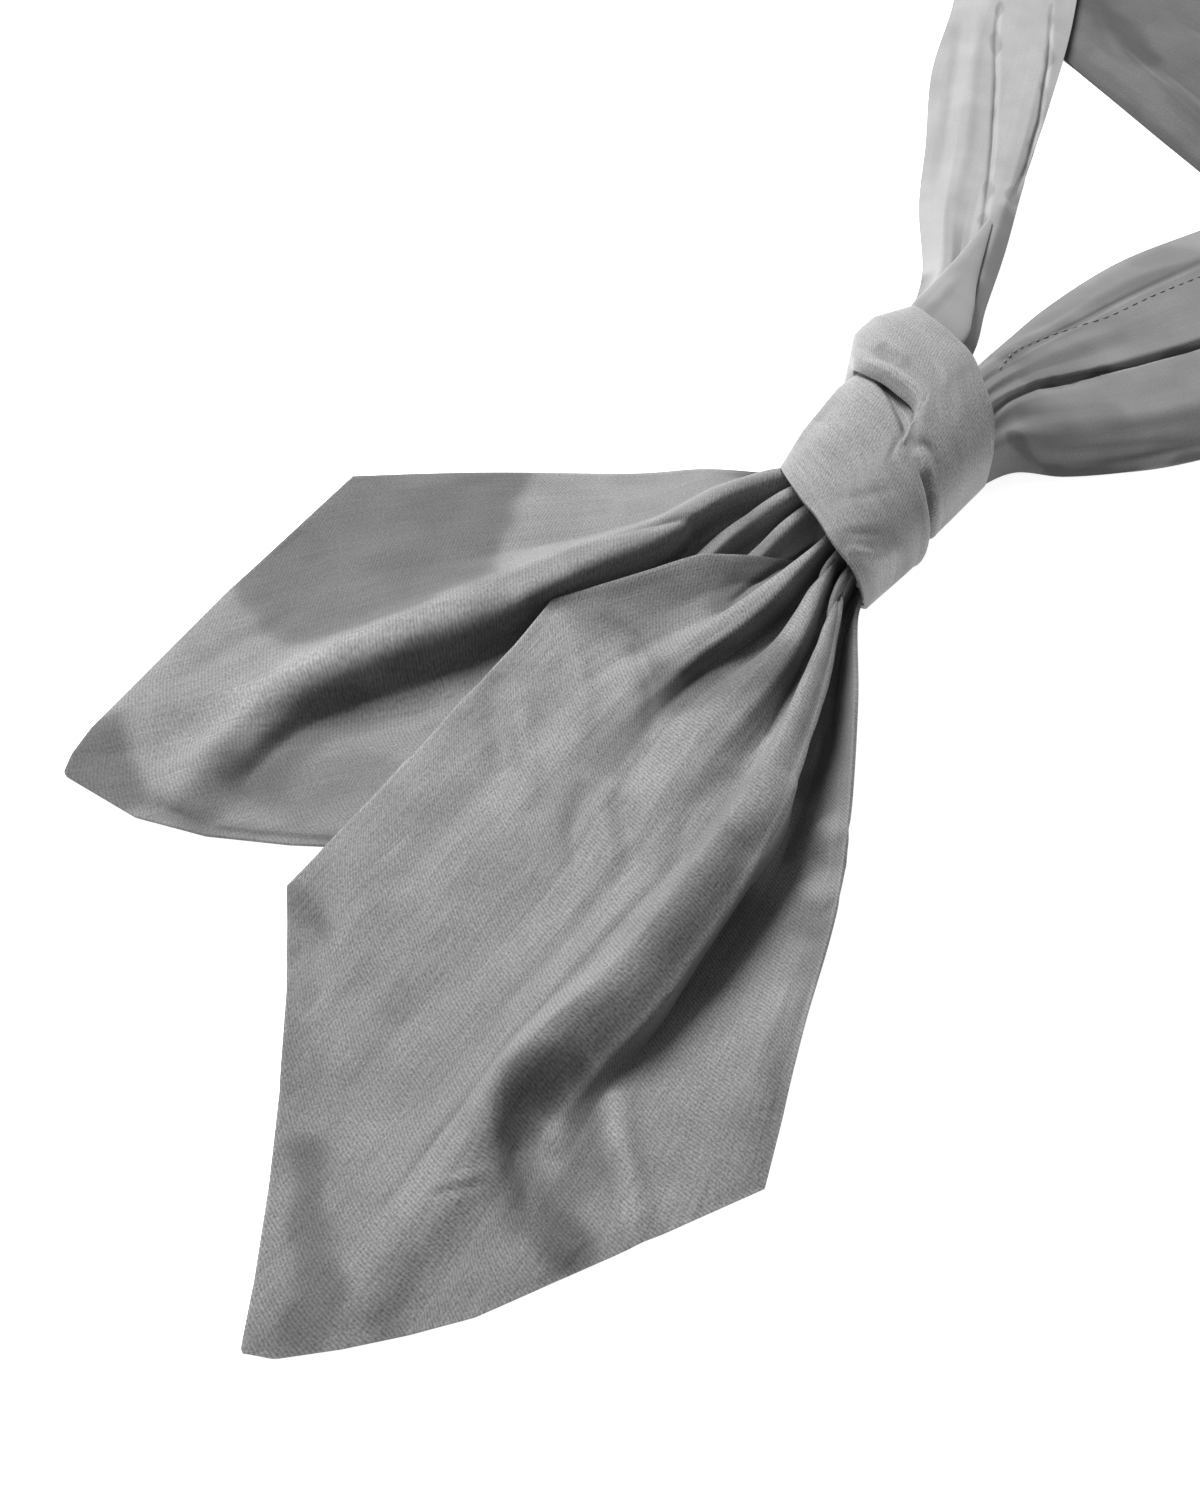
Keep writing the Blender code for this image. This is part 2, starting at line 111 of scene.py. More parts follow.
floor_mesh = bpy.data.meshes.new("table")
bm = bmesh.new()
bmesh.ops.create_grid(bm, x_segments=1, y_segments=1, size=6.0)
bm.to_mesh(floor_mesh)
bm.free()
floor = add_object("table", floor_mesh)
floor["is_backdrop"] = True

lamp_data = bpy.data.lights.new("window", "AREA")
lamp_data.shape = "DISK"
lamp_data.size = 1.1
lamp_data.energy = 86
lamp = add_object("window", lamp_data)
lamp.location = (-1.30, 0.35, 1.25)
lamp.rotation_mode = "QUATERNION"
lamp.rotation_quaternion = (-lamp.location).to_track_quat("-Z", "Y")

sky = bpy.data.worlds.new("white_sky")
sky.use_nodes = True
set_inputs(sky.node_tree.nodes["Background"], {"Color": (1, 1, 1, 1), "Strength": 0.38})
bpy.context.scene.world = sky
bpy.context.scene.view_settings.view_transform = "Standard"
print("lamp of", lamp_data.energy, "W and", lamp_data.size, "m")

# %% [markdown]
# ## Reading a table of sections
#
# Each stretch of the tie is described the way it was planned: a few section lines across it, each from
# its left edge to its right edge, and a few folds that run along it. For each fold a row gives its place
# across each section and its height. A smooth curve through those points gives the fold's whole line.

# %% Curves through sections
WALL = 1.0 * MM
REST = WALL / 2                 # how high the middle of a sheet lies where it rests on the table
ROWS_CROWD = 1.12               # above 1, the rows lie closer together at the first section
LAST_SECTIONS = (0.25, 0.5)     # where a blade's last two sections lie from the third last to the point


def curve_through(knots, points, places):
    """Read a smooth curve through points, which lie at the given knots, at each of the places."""
    knots = np.asarray(knots, float)
    points = np.asarray(points, float)
    slopes = np.gradient(points, knots, axis=0)
    left = np.clip(np.searchsorted(knots, places, side="right") - 1, 0, len(knots) - 2)
    span = (knots[left + 1] - knots[left])[:, None]
    t = (places[:, None] - knots[left][:, None]) / span
    start = (2 * t**3 - 3 * t**2 + 1) * points[left] + (t**3 - 2 * t**2 + t) * span * slopes[left]
    end = (3 * t**2 - 2 * t**3) * points[left + 1] + (t**3 - t**2) * span * slopes[left + 1]
    return start + end


def lengths_along(points):
    """The distance travelled at each point of a chain, starting at 0."""
    steps = np.linalg.norm(np.diff(points, axis=0), axis=1)
    return np.concatenate([[0.0], np.cumsum(steps)])


def pointed_edge(last_section, share, tip):
    """Where a fold meets the pointed end, whose two edges may bow out a little."""
    on_left = share <= 0.5
    corner = np.array(last_section[0:2] if on_left else last_section[2:4], float)
    edge = np.array(tip[0:2]) - corner
    part = 2 * share if on_left else 2 * (1 - share)
    outward = np.array([edge[1], -edge[0]]) / np.linalg.norm(edge) * (1 if on_left else -1)
    reach, late = tip[2 if on_left else 3], tip[4]
    bow = reach * part**late * (1 - part) * (1 + late) ** (1 + late) / late**late
    x, y = corner + part * edge + bow * outward
    return np.array([x, y, REST / MM])


def fold_points(sections, heights, share, tip):
    """One fold's points, section by section, then on to the pointed edge where there is a tip."""
    points = []
    for (left_x, left_y, right_x, right_y, _, _), (place, height) in zip(sections, heights):
        x = left_x + place * (right_x - left_x)
        y = left_y + place * (right_y - left_y)
        points.append((x, y, max(height, REST / MM)))
    if tip is not None and 0.0 < share < 1.0:
        end = pointed_edge(sections[-1], share, tip)
        half_way = 0.5 * (np.array(points[-1]) + end)
        half_way[2] = max(heights[-1], REST / MM)
        points.extend([half_way, end])
    return np.array(points, float) * MM


def fold_lines(sections, folds, rows, tip=None):
    """The lines of all folds as rows x folds x 3, with each row's rounding, crest share and place."""
    points = [fold_points(sections, row[1:], row[0], tip) for row in folds]
    shared = len(sections) - 3 if tip is not None else len(sections) - 1
    middle = np.mean([lengths_along(p[:shared + 1]) for p in points], axis=0)
    rest = np.mean([lengths_along(p[shared:])[-1] for p in points])
    places = (middle[-1] + rest) * np.linspace(0.0, 1.0, rows) ** ROWS_CROWD
    lines = []
    for p in points:
        beyond = lengths_along(p[shared:])
        scale = rest / beyond[-1] if beyond[-1] > 0 else 0.0
        lines.append(curve_through(np.concatenate([middle, middle[-1] + beyond[1:] * scale]), p, places))
    to_tip = rest * np.array(LAST_SECTIONS if tip is not None else ())
    knots = np.concatenate([middle, middle[-1] + to_tip])
    rounding = np.interp(places, knots, [row[4] for row in sections])[:, None] * MM
    crest = np.interp(places, knots, [row[5] for row in sections])[:, None]
    return np.stack(lines, axis=1), rounding, crest, places[:, None] / places[-1]


# %% [markdown]
# ## From folds to a fine sheet
#
# Cloth doesn't bend in sharp corners. Between two folds the sheet runs straight, and at each fold it
# turns through two rounded corners. The points are then spread evenly along the cloth, so that a column
# of the grid is always the same thread. That is what later keeps the weave from stretching.

# %% Rounded turns
TURN_POINTS = 9                 # points round one rounded corner


def rounded_turn(before, corner, after, rounding, room_before, room_after):
    """Points round one corner of every row, as a list of rows x 3 arrays.

    The rooms are the shares of the way to the points on both sides that the turn may take up."""
    back = before - corner
    ahead = after - corner
    back_length = np.maximum(np.linalg.norm(back, axis=1, keepdims=True), 1e-7)
    ahead_length = np.maximum(np.linalg.norm(ahead, axis=1, keepdims=True), 1e-7)
    back = back / back_length
    ahead = ahead / ahead_length
    cosine = np.clip((back * ahead).sum(axis=1, keepdims=True), -0.9999, 0.9999)
    half_angle = 0.5 * np.arccos(cosine)
    room = np.minimum(room_before * back_length, room_after * ahead_length)
    trim = np.clip(rounding / np.tan(half_angle), 0.1 * room, room)
    weight = np.sin(half_angle)
    turned = []
    for t in np.linspace(0.0, 1.0, TURN_POINTS):
        shares = ((1 - t) ** 2, 2 * weight * t * (1 - t), t**2)
        entry, leaving = corner + back * trim, corner + ahead * trim
        point = shares[0] * entry + shares[1] * corner + shares[2] * leaving
        turned.append(point / (shares[0] + shares[1] + shares[2]))
    return turned


# %% The fine sheet
ROOM_OUT = 0.46                 # the share of the way to the next fold that a turn may take up
ROOM_IN = 0.92                  # the share of the way to the fold's own line
PLAIN_TURN = 0.6                # a turn's radius as a share of the section's, where no lean gives one
LEAN_GONE = 0.86                # the share of the length at which a lean has died away
LEAN_FULL = 0.7                 # the share of that for which it stays whole
FEWEST_STEPS = 6                # columns in the narrowest stretch between two folds


def sheet_grid(sections, folds, rows, columns, tip=None, leans=None):
    """A fine grid of points, rows x columns x 3, and the share of the cut's width at each column.

    leans names the folds that turn sharply or lean over: for each side, how far the fold's level part
    reaches towards its neighbour, as a share, and the radius of its turn in millimetres. A fifth number
    says at which share of the sheet's length the lean has died away."""
    lines, rounding, crest, place = fold_lines(list(sections.values()), list(folds.values()), rows, tip)
    names = list(folds)
    folds = list(folds.values())
    count = lines.shape[1]
    corners, radii = [lines[:, 0]], [rounding]
    for k in range(1, count - 1):
        lean = (leans or {}).get(names[k], (0.0, None, 0.0, None))
        gone = lean[4] if len(lean) > 4 else LEAN_GONE
        lasting = np.interp(place, (0.0, LEAN_FULL * gone, gone, 1.0), (1.0, 1.0, 0.0, 0.0))
        for beside, reach, radius in ((lines[:, k - 1], *lean[:2]), (lines[:, k + 1], *lean[2:4])):
            share = 0.5 * crest + np.maximum(reach - 0.5 * crest, 0.0) * lasting
            level = lines[:, k] + share * (beside - lines[:, k])
            level[:, 2] = lines[:, k, 2]
            corners.append(level)
            width = PLAIN_TURN * rounding if radius is None else np.full_like(rounding, radius * MM)
            radii.append(width + (1 - lasting) * np.maximum(rounding - width, 0))
    corners.append(lines[:, -1])
    stretches = []
    chain = [corners[0]]
    for k in range(1, count - 1):
        first = 2 * k - 1
        before, turn, turn_back, after = corners[first - 1:first + 3]
        chain += rounded_turn(before, turn, lines[:, k], radii[first], ROOM_OUT, ROOM_IN)
        chain.append(lines[:, k])
        stretches.append(np.stack(chain, axis=1))
        chain = [lines[:, k]]
        chain += rounded_turn(lines[:, k], turn_back, after, radii[first + 1], ROOM_IN, ROOM_OUT)
    chain.append(corners[-1])
    stretches.append(np.stack(chain, axis=1))
    shares = [row[0] for row in folds]
    points, across = [], []
    for k, stretch in enumerate(stretches):
        steps = max(FEWEST_STEPS, round(columns * (shares[k + 1] - shares[k])))
        places = np.linspace(0.0, 1.0, steps + 1)[:None if k == len(stretches) - 1 else -1]
        block = np.empty((len(stretch), len(places), 3))
        for r, row in enumerate(stretch):
            travelled = lengths_along(row)
            for c in range(3):
                block[r, :, c] = np.interp(places * travelled[-1], travelled, row[:, c])
        points.append(block)
        across.append(shares[k] + places * (shares[k + 1] - shares[k]))
    return np.concatenate(points, axis=1) + KNOT_AT, np.concatenate(across)


# %% Soften a sheet, and find its upper side
def relax(grid, passes):
    """Let each inner point settle towards its four neighbours, as cloth does over a fold."""
    for _ in range(passes):
        around = grid[:-2, 1:-1] + grid[2:, 1:-1] + grid[1:-1, :-2] + grid[1:-1, 2:]
        grid[1:-1, 1:-1] = 0.5 * grid[1:-1, 1:-1] + 0.125 * around


def outward(grid):
    """The normal at each point of a grid, on the side that faces up where the sheet lies high."""
    along = np.gradient(grid, axis=0)
    across = np.gradient(grid, axis=1)
    normal = np.cross(along, across)
    normal /= np.maximum(np.linalg.norm(normal, axis=2, keepdims=True), 1e-12)
    top = grid[:, :, 2] > np.percentile(grid[:, :, 2], 75)
    return normal * np.sign(normal[top][:, 2].mean())


# %% [markdown]
# ## Creases and ripples
#
# A crease is a short line drawn on the cloth with a depth and a width: below zero it is a trough, above
# zero a ridge. It is strongest in its middle and dies away at both ends. Ripples are the slow, shallow
# unevenness that any cloth keeps after it was folded in a drawer.

# %% Creases and ripples
def along_path(grid, path):
    """Each grid point's distance from a path in plan, and how far along the path it lies, 0 to 1."""
    path = np.array(path, float) * MM + KNOT_AT[:2]
    travelled = lengths_along(path)
    near = np.full(grid.shape[:2], 1e9)
    place = np.zeros(grid.shape[:2])
    for k in range(len(path) - 1):
        step = path[k + 1] - path[k]
        t = np.clip(((grid[:, :, :2] - path[k]) @ step) / (step @ step), 0, 1)
        away = np.linalg.norm(grid[:, :, :2] - path[k] - t[:, :, None] * step, axis=2)
        closer = away < near
        near[closer] = away[closer]
        place[closer] = ((travelled[k] + t * np.linalg.norm(step)) / travelled[-1])[closer]
    return near, place


def crease(grid, path, depth, width, sharp=1.0):
    """Press a trough, or with a depth above 0 raise a ridge, along a path given in millimetres."""
    near, place = along_path(grid, path)
    fade = np.sin(np.pi * np.clip(place, 0, 1)) ** 0.6
    profile = np.exp(-(near / (width * MM)) ** (2 * sharp))
    grid += outward(grid) * (depth * MM * fade * profile)[:, :, None]


def press(grid, creases):
    """Press a table of creases into a sheet: depth, half width, path and, for some, sharpness."""
    for depth, width, path, *sharp in creases:
        crease(grid, path, depth, width, *sharp)


def from_border(grid, width):
    """0 on the far end and both sides of a sheet, rising to 1 at that many millimetres inside.

    The first row isn't counted, since on most sheets it is hidden in the knot."""
    down = np.linalg.norm(np.diff(grid, axis=0), axis=2)
    over = np.linalg.norm(np.diff(grid, axis=1), axis=2)
    down = np.concatenate([np.zeros((1, grid.shape[1])), np.cumsum(down, axis=0)])
    over = np.concatenate([np.zeros((grid.shape[0], 1)), np.cumsum(over, axis=1)], axis=1)
    nearest = np.minimum(down[-1:] - down, np.minimum(over, over[:, -1:] - over))
    share = np.clip(nearest / (width * MM), 0, 1)
    return share * share * (3 - 2 * share)


def slow_noise(grid, size, seed, steps):
    """Noise at each point of a grid. Each seed moves it by the steps, so that no two sheets match."""
    offset = Vector([seed * step for step in steps])
    values = [noise.noise(Vector(p) / (size * MM) + offset) for p in grid.reshape(-1, 3)]
    return np.array(values).reshape(grid.shape[:2])


STEADY_BORDER = 5               # millimetres inside the edge over which ripples die away


def ripple(grid, size, amount, seed):
    """Lift and lower the sheet by slow noise. Size and amount are in millimetres."""
    lift = slow_noise(grid, size, seed, (7.3, 3.1, 1.7)) * amount * MM * from_border(grid, STEADY_BORDER)
    grid += outward(grid) * lift[:, :, None]


def keep_on_table(grid):
    """No point of a sheet's middle goes below the height at which it rests on the table."""
    grid[:, :, 2] = np.maximum(grid[:, :, 2], REST)


# %% [markdown]
# ## Painted light and shade on the cloth
#
# A turned hem or a second layer underneath makes the cloth look darker, since less light comes through
# it from the table. Where it was pressed or handled it varies as well. So each point gets a shade, 1 for
# plain cloth, and a few patches of other shades are laid on it, with soft, uneven borders.
# Most patches are painted light: painted shadow in valleys, under ridges and beside fold edges, and
# painted highlight along crests and turned edges. The darker second layer is painted shade as well.

# %% Patches of shade
RAGGED_SIZE = 9                 # the size of a bump on a ragged border, in millimetres
BORDER_SOFT = 0.18              # how soft the border of a line is, as a share of its width


def uneven(grid, size, seed):
    """Slow noise from about -1 to 1 over the sheet."""
    return 1.6 * slow_noise(grid, size, seed, (5.1, 2.3, 9.7))


def shade_along(shade, grid, path, factor, width, ragged=0.0, seed=1):
    """Multiply the shade along a path. Width and the raggedness of the border are in millimetres."""
    near = along_path(grid, path)[0] / MM
    close = near < 2 * width + 3 * ragged
    near[close] += ragged * uneven(grid[close][:, None], RAGGED_SIZE, seed)[:, 0]
    amount = 1 / (1 + np.exp(np.minimum((near - width) / (BORDER_SOFT * width), 50)))
    shade *= 1 + (factor - 1) * amount


def shade_lines(shade, grid, rows, seed):
    """Lay a table of shades on a sheet. A row is path, factor, width and raggedness."""
    for number, (path, factor, width, ragged) in enumerate(rows):
        shade_along(shade, grid, path, factor, width, ragged, seed + number)


def shade_inside(shade, grid, outline, factor, blur, ragged=0.0, seed=1):
    """Multiply the shade inside a closed outline in plan, with a border that is blur millimetres soft."""
    near = along_path(grid, [*outline, outline[0]])[0]
    plan = (grid[:, :, :2] - KNOT_AT[:2]) / MM
    inside = np.zeros(grid.shape[:2], bool)
    for (x0, y0), (x1, y1) in zip(outline, [*outline[1:], outline[0]]):
        crosses = (plan[:, :, 1] < y0) != (plan[:, :, 1] < y1)
        at = x0 + (plan[:, :, 1] - y0) * (x1 - x0) / (y1 - y0 if y1 != y0 else 1e-9)
        inside ^= crosses & (plan[:, :, 0] < at)
    signed = np.where(inside, near, -near) / MM + ragged * uneven(grid, RAGGED_SIZE, seed)
    amount = 1 / (1 + np.exp(-np.clip(signed / blur, -50, 50)))
    shade *= 1 + (factor - 1) * amount


def rim(shade, grid, factor, width):
    """Lighten the very border: a painted highlight where the table's light comes through the turned edge.
    """
    shade *= factor + (1 - factor) * from_border(grid, width)


# %% [markdown]
# ## From a grid to a piece
#
# Blender's grid operator makes the net of faces, and the code only moves its points into place. Each
# face also gets its place on the uncut strip in metres, as a UV map: u runs across the strip and v along
# it. A point attribute holds the shade painted there, the cloth's uneven tone with its painted light and
# shade. Solidify gives it its thickness.

# %% Build a sheet
WELD = 0.01 * MM                # points closer than this are one point, where a ring of cloth closes


def mesh_from_grid(name, grid, strip_u, strip_v, shade, closed=False):
    """A mesh on a grid of points with its strip coordinates and its shade."""
    rows, columns = grid.shape[:2]
    mesh = bpy.data.meshes.new(name)
    bm = bmesh.new()
    bmesh.ops.create_grid(bm, x_segments=columns - 1, y_segments=rows - 1, size=1.0)
    strip = bm.loops.layers.uv.new("strip")
    tone = bm.verts.layers.float.new("shade")
    index = {}
    for vert in bm.verts:
        column = round((vert.co.x + 1) / 2 * (columns - 1))
        row = round((vert.co.y + 1) / 2 * (rows - 1))
        index[vert] = (row, column)
    for vert, (row, column) in index.items():
        vert.co = grid[row, column]
        vert[tone] = shade[row, column]
    for face in bm.faces:
        for loop in face.loops:
            row, column = index[loop.vert]
            loop[strip].uv = (strip_u[row, column], strip_v[row, column])
    if closed:
        bmesh.ops.remove_doubles(bm, verts=bm.verts, dist=WELD)
    bmesh.ops.recalc_face_normals(bm, faces=bm.faces)
    bm.to_mesh(mesh)
    bm.free()
    mesh.shade_smooth()
    return mesh


def dress(name, mesh, node, material, wall):
    """Make the piece, thicken it, and let it stand for its CAD node."""
    piece = add_object(name, mesh)
    mesh.materials.append(material)
    solidify = piece.modifiers.new("thickness", "SOLIDIFY")
    solidify.thickness = wall
    solidify.offset = 0.0
    soften = piece.modifiers.new("soft_edge", "BEVEL")
    soften.width = 0.3 * wall
    soften.segments = 2
    soften.limit_method = "ANGLE"
    soften.angle_limit = math.radians(60)
    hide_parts(node)
    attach(piece, "root")
    print(name, len(mesh.polygons), "faces")


def strip_map(grid, across, width):
    """Where each grid point lies on the uncut strip, in metres."""
    steps = np.linalg.norm(np.diff(grid, axis=0), axis=2)
    length = np.concatenate([np.zeros((1, grid.shape[1])), np.cumsum(steps, axis=0)])
    return np.broadcast_to(across * width, grid.shape[:2]), length


# %% [markdown]
# ## Woven cloth
#
# The cloth is taken to be a plain dyed cotton and silk weave, though a photograph can't tell the fibre:
# a fine steep twill, with thicker threads, called slubs, that run along the strip. It is matt with a
# soft sheen at grazing angles. Such a twill has a pitch of about 0.5 mm, too fine for the picture, so it
# is drawn at 0.8 mm. Single threads are about 0.5 mm of grain, the slubs are 0.5 mm wide and 12 mm long,
# and a slower streak of 1.6 mm by 45 mm lets one lot of thread differ from the next. Where the strip is
# pulled tight, as in the strands, the grain shows less.

# %% Colours and nodes
def linear(hex_colour):
    """An sRGB hex colour as the linear colour that a shader takes."""
    parts = [int(hex_colour[k:k + 2], 16) / 255 for k in (1, 3, 5)]
    return (*[p / 12.92 if p <= 0.04045 else ((p + 0.055) / 1.055) ** 2.4 for p in parts], 1.0)


def add_node(tree, kind, settings=(), links=()):
    """Add a node, set its sockets or properties by name, and link its inputs."""
    node = tree.nodes.new(kind)
    for key, value in dict(settings).items():
        if isinstance(key, int) or key in node.inputs:
            node.inputs[key].default_value = value
        else:
            setattr(node, key, value)
    for key, source in dict(links).items():
        tree.links.new(source, node.inputs[key])
    return node


# %% The woven material
TWILL_PITCH = 0.8 * MM
TWILL_TURN = math.radians(68)   # how far the ribs lean from the length of the strip
TWILL_WEIGHT = 0.15             # its weight in the colour
WAVE_PERIOD = math.pi / 10      # one band of Blender's Wave texture, at scale 1
# Pattern: width across the strip and length along it in millimetres, detail, and weight in the colour.
THREADS = {"grain": (0.5, 0.7, 1.0, 0.62), "slub": (0.5, 12, 3.0, 0.30), "streak": (1.6, 45, 2.0, 0.16)}
FLECK_SIZE = (0.6, 1.8)         # millimetres across and along the strip
FLECKS = {"From Min": 0.80, "From Max": 0.88, "To Max": 0.30}   # only the peaks of a noise show as flecks
SPREAD = 0.22                   # how far the threads' sum goes from its mean to either colour
RELIEF = 0.12 * MM              # how high the threads stand


def thread_scale(width, length):
    """The scale of a pattern that is this wide and this long in millimetres."""
    return (1 / (width * MM), 1 / (length * MM), 1)


def woven_cloth(name, light, dark, contrast):
    """Dyed slub twill: matt, with grain, streaks along the strip and a fine steep rib."""
    material = bpy.data.materials.new(name)
    material.use_nodes = True
    tree = material.node_tree
    shader = tree.nodes["Principled BSDF"]
    set_inputs(shader, {"Roughness": 0.72, "IOR": 1.45, "Specular IOR Level": 0.3,
                        "Sheen Weight": 0.22, "Sheen Roughness": 0.45})
    strip = add_node(tree, "ShaderNodeUVMap", {"uv_map": "strip"}).outputs["UV"]
    twill_at = add_node(tree, "ShaderNodeMapping",
                        {"Scale": (WAVE_PERIOD / TWILL_PITCH,) * 3, "Rotation": (0.0, 0.0, TWILL_TURN)},
                        {"Vector": strip})
    twill = add_node(tree, "ShaderNodeTexWave",
                     {"Scale": 1.0, "Distortion": 2.2, "Detail": 2.0, "Detail Scale": 3.5},
                     {"Vector": twill_at.outputs[0]})
    threads = add_node(tree, "ShaderNodeMath", {"operation": "MULTIPLY", 1: TWILL_WEIGHT},
                       {0: twill.outputs["Fac"]})
    mean = 0.5 * TWILL_WEIGHT
    for width, length, detail, weight in THREADS.values():
        at = add_node(tree, "ShaderNodeMapping", {"Scale": thread_scale(width, length)},
                      {"Vector": strip})
        pattern = add_node(tree, "ShaderNodeTexNoise", {"Scale": 1.0, "Detail": detail, "Roughness": 0.6},
                           {"Vector": at.outputs[0]})
        threads = add_node(tree, "ShaderNodeMath", {"operation": "MULTIPLY_ADD", 1: weight},
                           {0: pattern.outputs[0], 2: threads.outputs[0]})
        mean += 0.5 * weight
    fleck_at = add_node(tree, "ShaderNodeMapping", {"Scale": thread_scale(*FLECK_SIZE)},
                        {"Vector": strip})
    fleck = add_node(tree, "ShaderNodeTexNoise", {"Scale": 1.0, "Detail": 0.0},
                     {"Vector": fleck_at.outputs[0]})
    fleck_on = add_node(tree, "ShaderNodeMapRange", FLECKS, {"Value": fleck.outputs[0]})
    threads = add_node(tree, "ShaderNodeMath", {"operation": "ADD"},
                       {0: threads.outputs[0], 1: fleck_on.outputs[0]})
    spread = add_node(tree, "ShaderNodeMapRange",
                      {"From Min": mean - SPREAD / contrast, "From Max": mean + SPREAD / contrast},
                      {"Value": threads.outputs[0]})
    colour = add_node(tree, "ShaderNodeMix", {"data_type": "RGBA", 6: linear(dark), 7: linear(light)},
                      {0: spread.outputs[0]})
    # The shade attribute, the cloth's uneven tone with its painted light and shade, scales the colour.
    tone = add_node(tree, "ShaderNodeAttribute", {"attribute_name": "shade"})
    shaded = add_node(tree, "ShaderNodeVectorMath", {"operation": "SCALE"},
                      {0: colour.outputs[2], "Scale": tone.outputs["Fac"]})
    tree.links.new(shaded.outputs[0], shader.inputs["Base Color"])
    bump = add_node(tree, "ShaderNodeBump", {"Strength": 0.5 * contrast, "Distance": RELIEF},
                    {"Height": threads.outputs[0]})
    tree.links.new(bump.outputs[0], shader.inputs["Normal"])
    return material


# %% The finishes of the tie and of the table
# The inner layers and the neck's back take darker greys of the same cloth: painted shade for the inside
# of the knot and for the neck's back, which lies in shadow.
cloth = {
    "front": woven_cloth("slub_twill_front_blade", "#808080", "#4a4a4a", 1.0),
    "back": woven_cloth("slub_twill_back_blade", "#7e7e7e", "#4e4e4e", 0.9),
    "wrap": woven_cloth("slub_twill_pulled_smooth", "#838383", "#585858", 1.1),
    "core": woven_cloth("slub_twill_inner_layers", "#6a6a6a", "#505050", 0.6),
    "strand": woven_cloth("slub_twill_strands", "#7a7a7a", "#5e5e5e", 0.5),
    "neck": woven_cloth("slub_twill_neck", "#727272", "#525252", 0.8),
}
table_finish = bpy.data.materials.new("white_paper_table")
table_finish.use_nodes = True
set_inputs(table_finish.node_tree.nodes["Principled BSDF"], {
    "Base Color": linear("#f4f4f4"), "Roughness": 0.9,
    "Emission Color": linear("#ffffff"), "Emission Strength": 0.8})
floor_mesh.materials.append(table_finish)
print("materials:", len(bpy.data.materials))


# %% [markdown]
# ## The front blade
#
# The blade leaves the knot in tight pleats, four to five millimetres from crest to crest, and opens to
# about 131 mm of cloth between its two corners. One ridge grows into a long soft fold that leans over to
# the right and dies away before the pointed end. All heights below are in millimetres above the table.

# %% Front blade, its sections and folds
# Section columns: left x, left y, right x, right y, round radius, crest share.
FRONT_SECTIONS = {
    "throat": (2.6, -23.4, 18.4, -27.3, 1.0, 1.00),
    "mouth": (1.5, -31.5, 21.5, -33, 1.0, 0.95),
    "near": (-14, -48, 40.3, -55, 2.0, 0.70),
    "elbow": (-35, -79, 69, -92.5, 4.0, 0.40),
    "middle": (-30, -118, 85, -122, 4.5, 0.35),
    "low": (-25, -150, 97, -143, 4.5, 0.35),
    "corner": (-22, -177, 103, -154, 2.5, 0.35),
}
# A pointed end. Columns: tip x, tip y, how far its left edge bows out, how far its right edge does, and
# where: 1 is half way along the edge, 2 is nearer the tip.
FRONT_TIP = (54.5, -254, -2.8, 6.3, 1)

# Fold columns: share of the width, then place and height for each section, then half way to the tip.
FRONT_FOLDS = {
    "left_edge": (0,
        (0, 12), (0, 13), (0, 13), (0, 7.5), (0, 5), (0, 4), (0, 2), 1),
    "left_trough": (0.12,
        (0.125, 11), (0.135, 11), (0.2, 10), (0.2, 7), (0.15, 5), (0.14, 4), (0.13, 3), 0),
    "first_ridge": (0.23,
        (0.25, 24), (0.27, 24), (0.375, 18.5), (0.345, 10), (0.3, 6.5), (0.27, 5), (0.26, 3.5), 1.2),
    "first_valley": (0.33,
        (0.375, 14), (0.39, 14), (0.45, 11), (0.42, 7.8), (0.4, 6.3), (0.385, 5), (0.37, 3.4), 0.8),
    "second_ridge": (0.42,
        (0.5, 23), (0.52, 23), (0.61, 19), (0.55, 13), (0.52, 9), (0.485, 7), (0.46, 4.5), 1),
    "second_valley": (0.5,
        (0.625, 15), (0.64, 15), (0.7, 13.5), (0.67, 11), (0.61, 11), (0.55, 9.8), (0.52, 6.5), 1.4),
    "main_ridge": (0.59,
        (0.72, 20), (0.72, 20.5), (0.75, 20.8), (0.735, 20.8), (0.67, 17.5), (0.615, 14), (0.56, 9.5), 3),
    "ridge_edge": (0.65,
        (0.775, 20), (0.79, 20), (0.828, 19.5), (0.812, 18.5),
        (0.766, 13.5), (0.71, 9.5), (0.66, 4.5), 1),
    "main_valley": (0.71,
        (0.84, 12), (0.82, 11), (0.805, 8), (0.79, 3.5), (0.75, 2.6), (0.713, 2), (0.7, 1.6), 0.2),
    "right_edge": (1,
        (1, 15), (1, 15.5), (1, 15), (1, 11), (1, 6.5), (1, 3), (1, 1), 0),
}

# %% Front blade, its sheet
# Leans: left reach, left radius, right reach, right radius and, for some, where the lean is gone. A
# reach of 0 keeps the section's own.
FRONT_LEANS = {
    "first_ridge": (0.0, 3.0, 0.36, 0.7, 0.38),
    "first_valley": (0.34, 0.7, 0.0, 2.5, 0.38),
    "second_ridge": (0.0, 4.0, 0.30, 1.2, 0.45),
    "second_valley": (0.2, 1.0, 0.0, 2.0, 0.45),
    "main_ridge": (0.0, 6.0, 0.0, 9.0),
    "ridge_edge": (0.0, 3.0, 0.0, 0.6, 0.80),
    "main_valley": (0.0, 0.6, 0.0, 3.0, 0.80),
}
CUT_WIDTH = 140 * MM            # the width taken for the cut at the corners, which scales the weave
front, front_across = sheet_grid(FRONT_SECTIONS, FRONT_FOLDS, 205, 215, FRONT_TIP, FRONT_LEANS)
relax(front, 2)
print("front blade grid:", front.shape[:2])

# %% Blunt tips
TURNED_IN = 0.8                 # the share of the corner's reach that is turned in


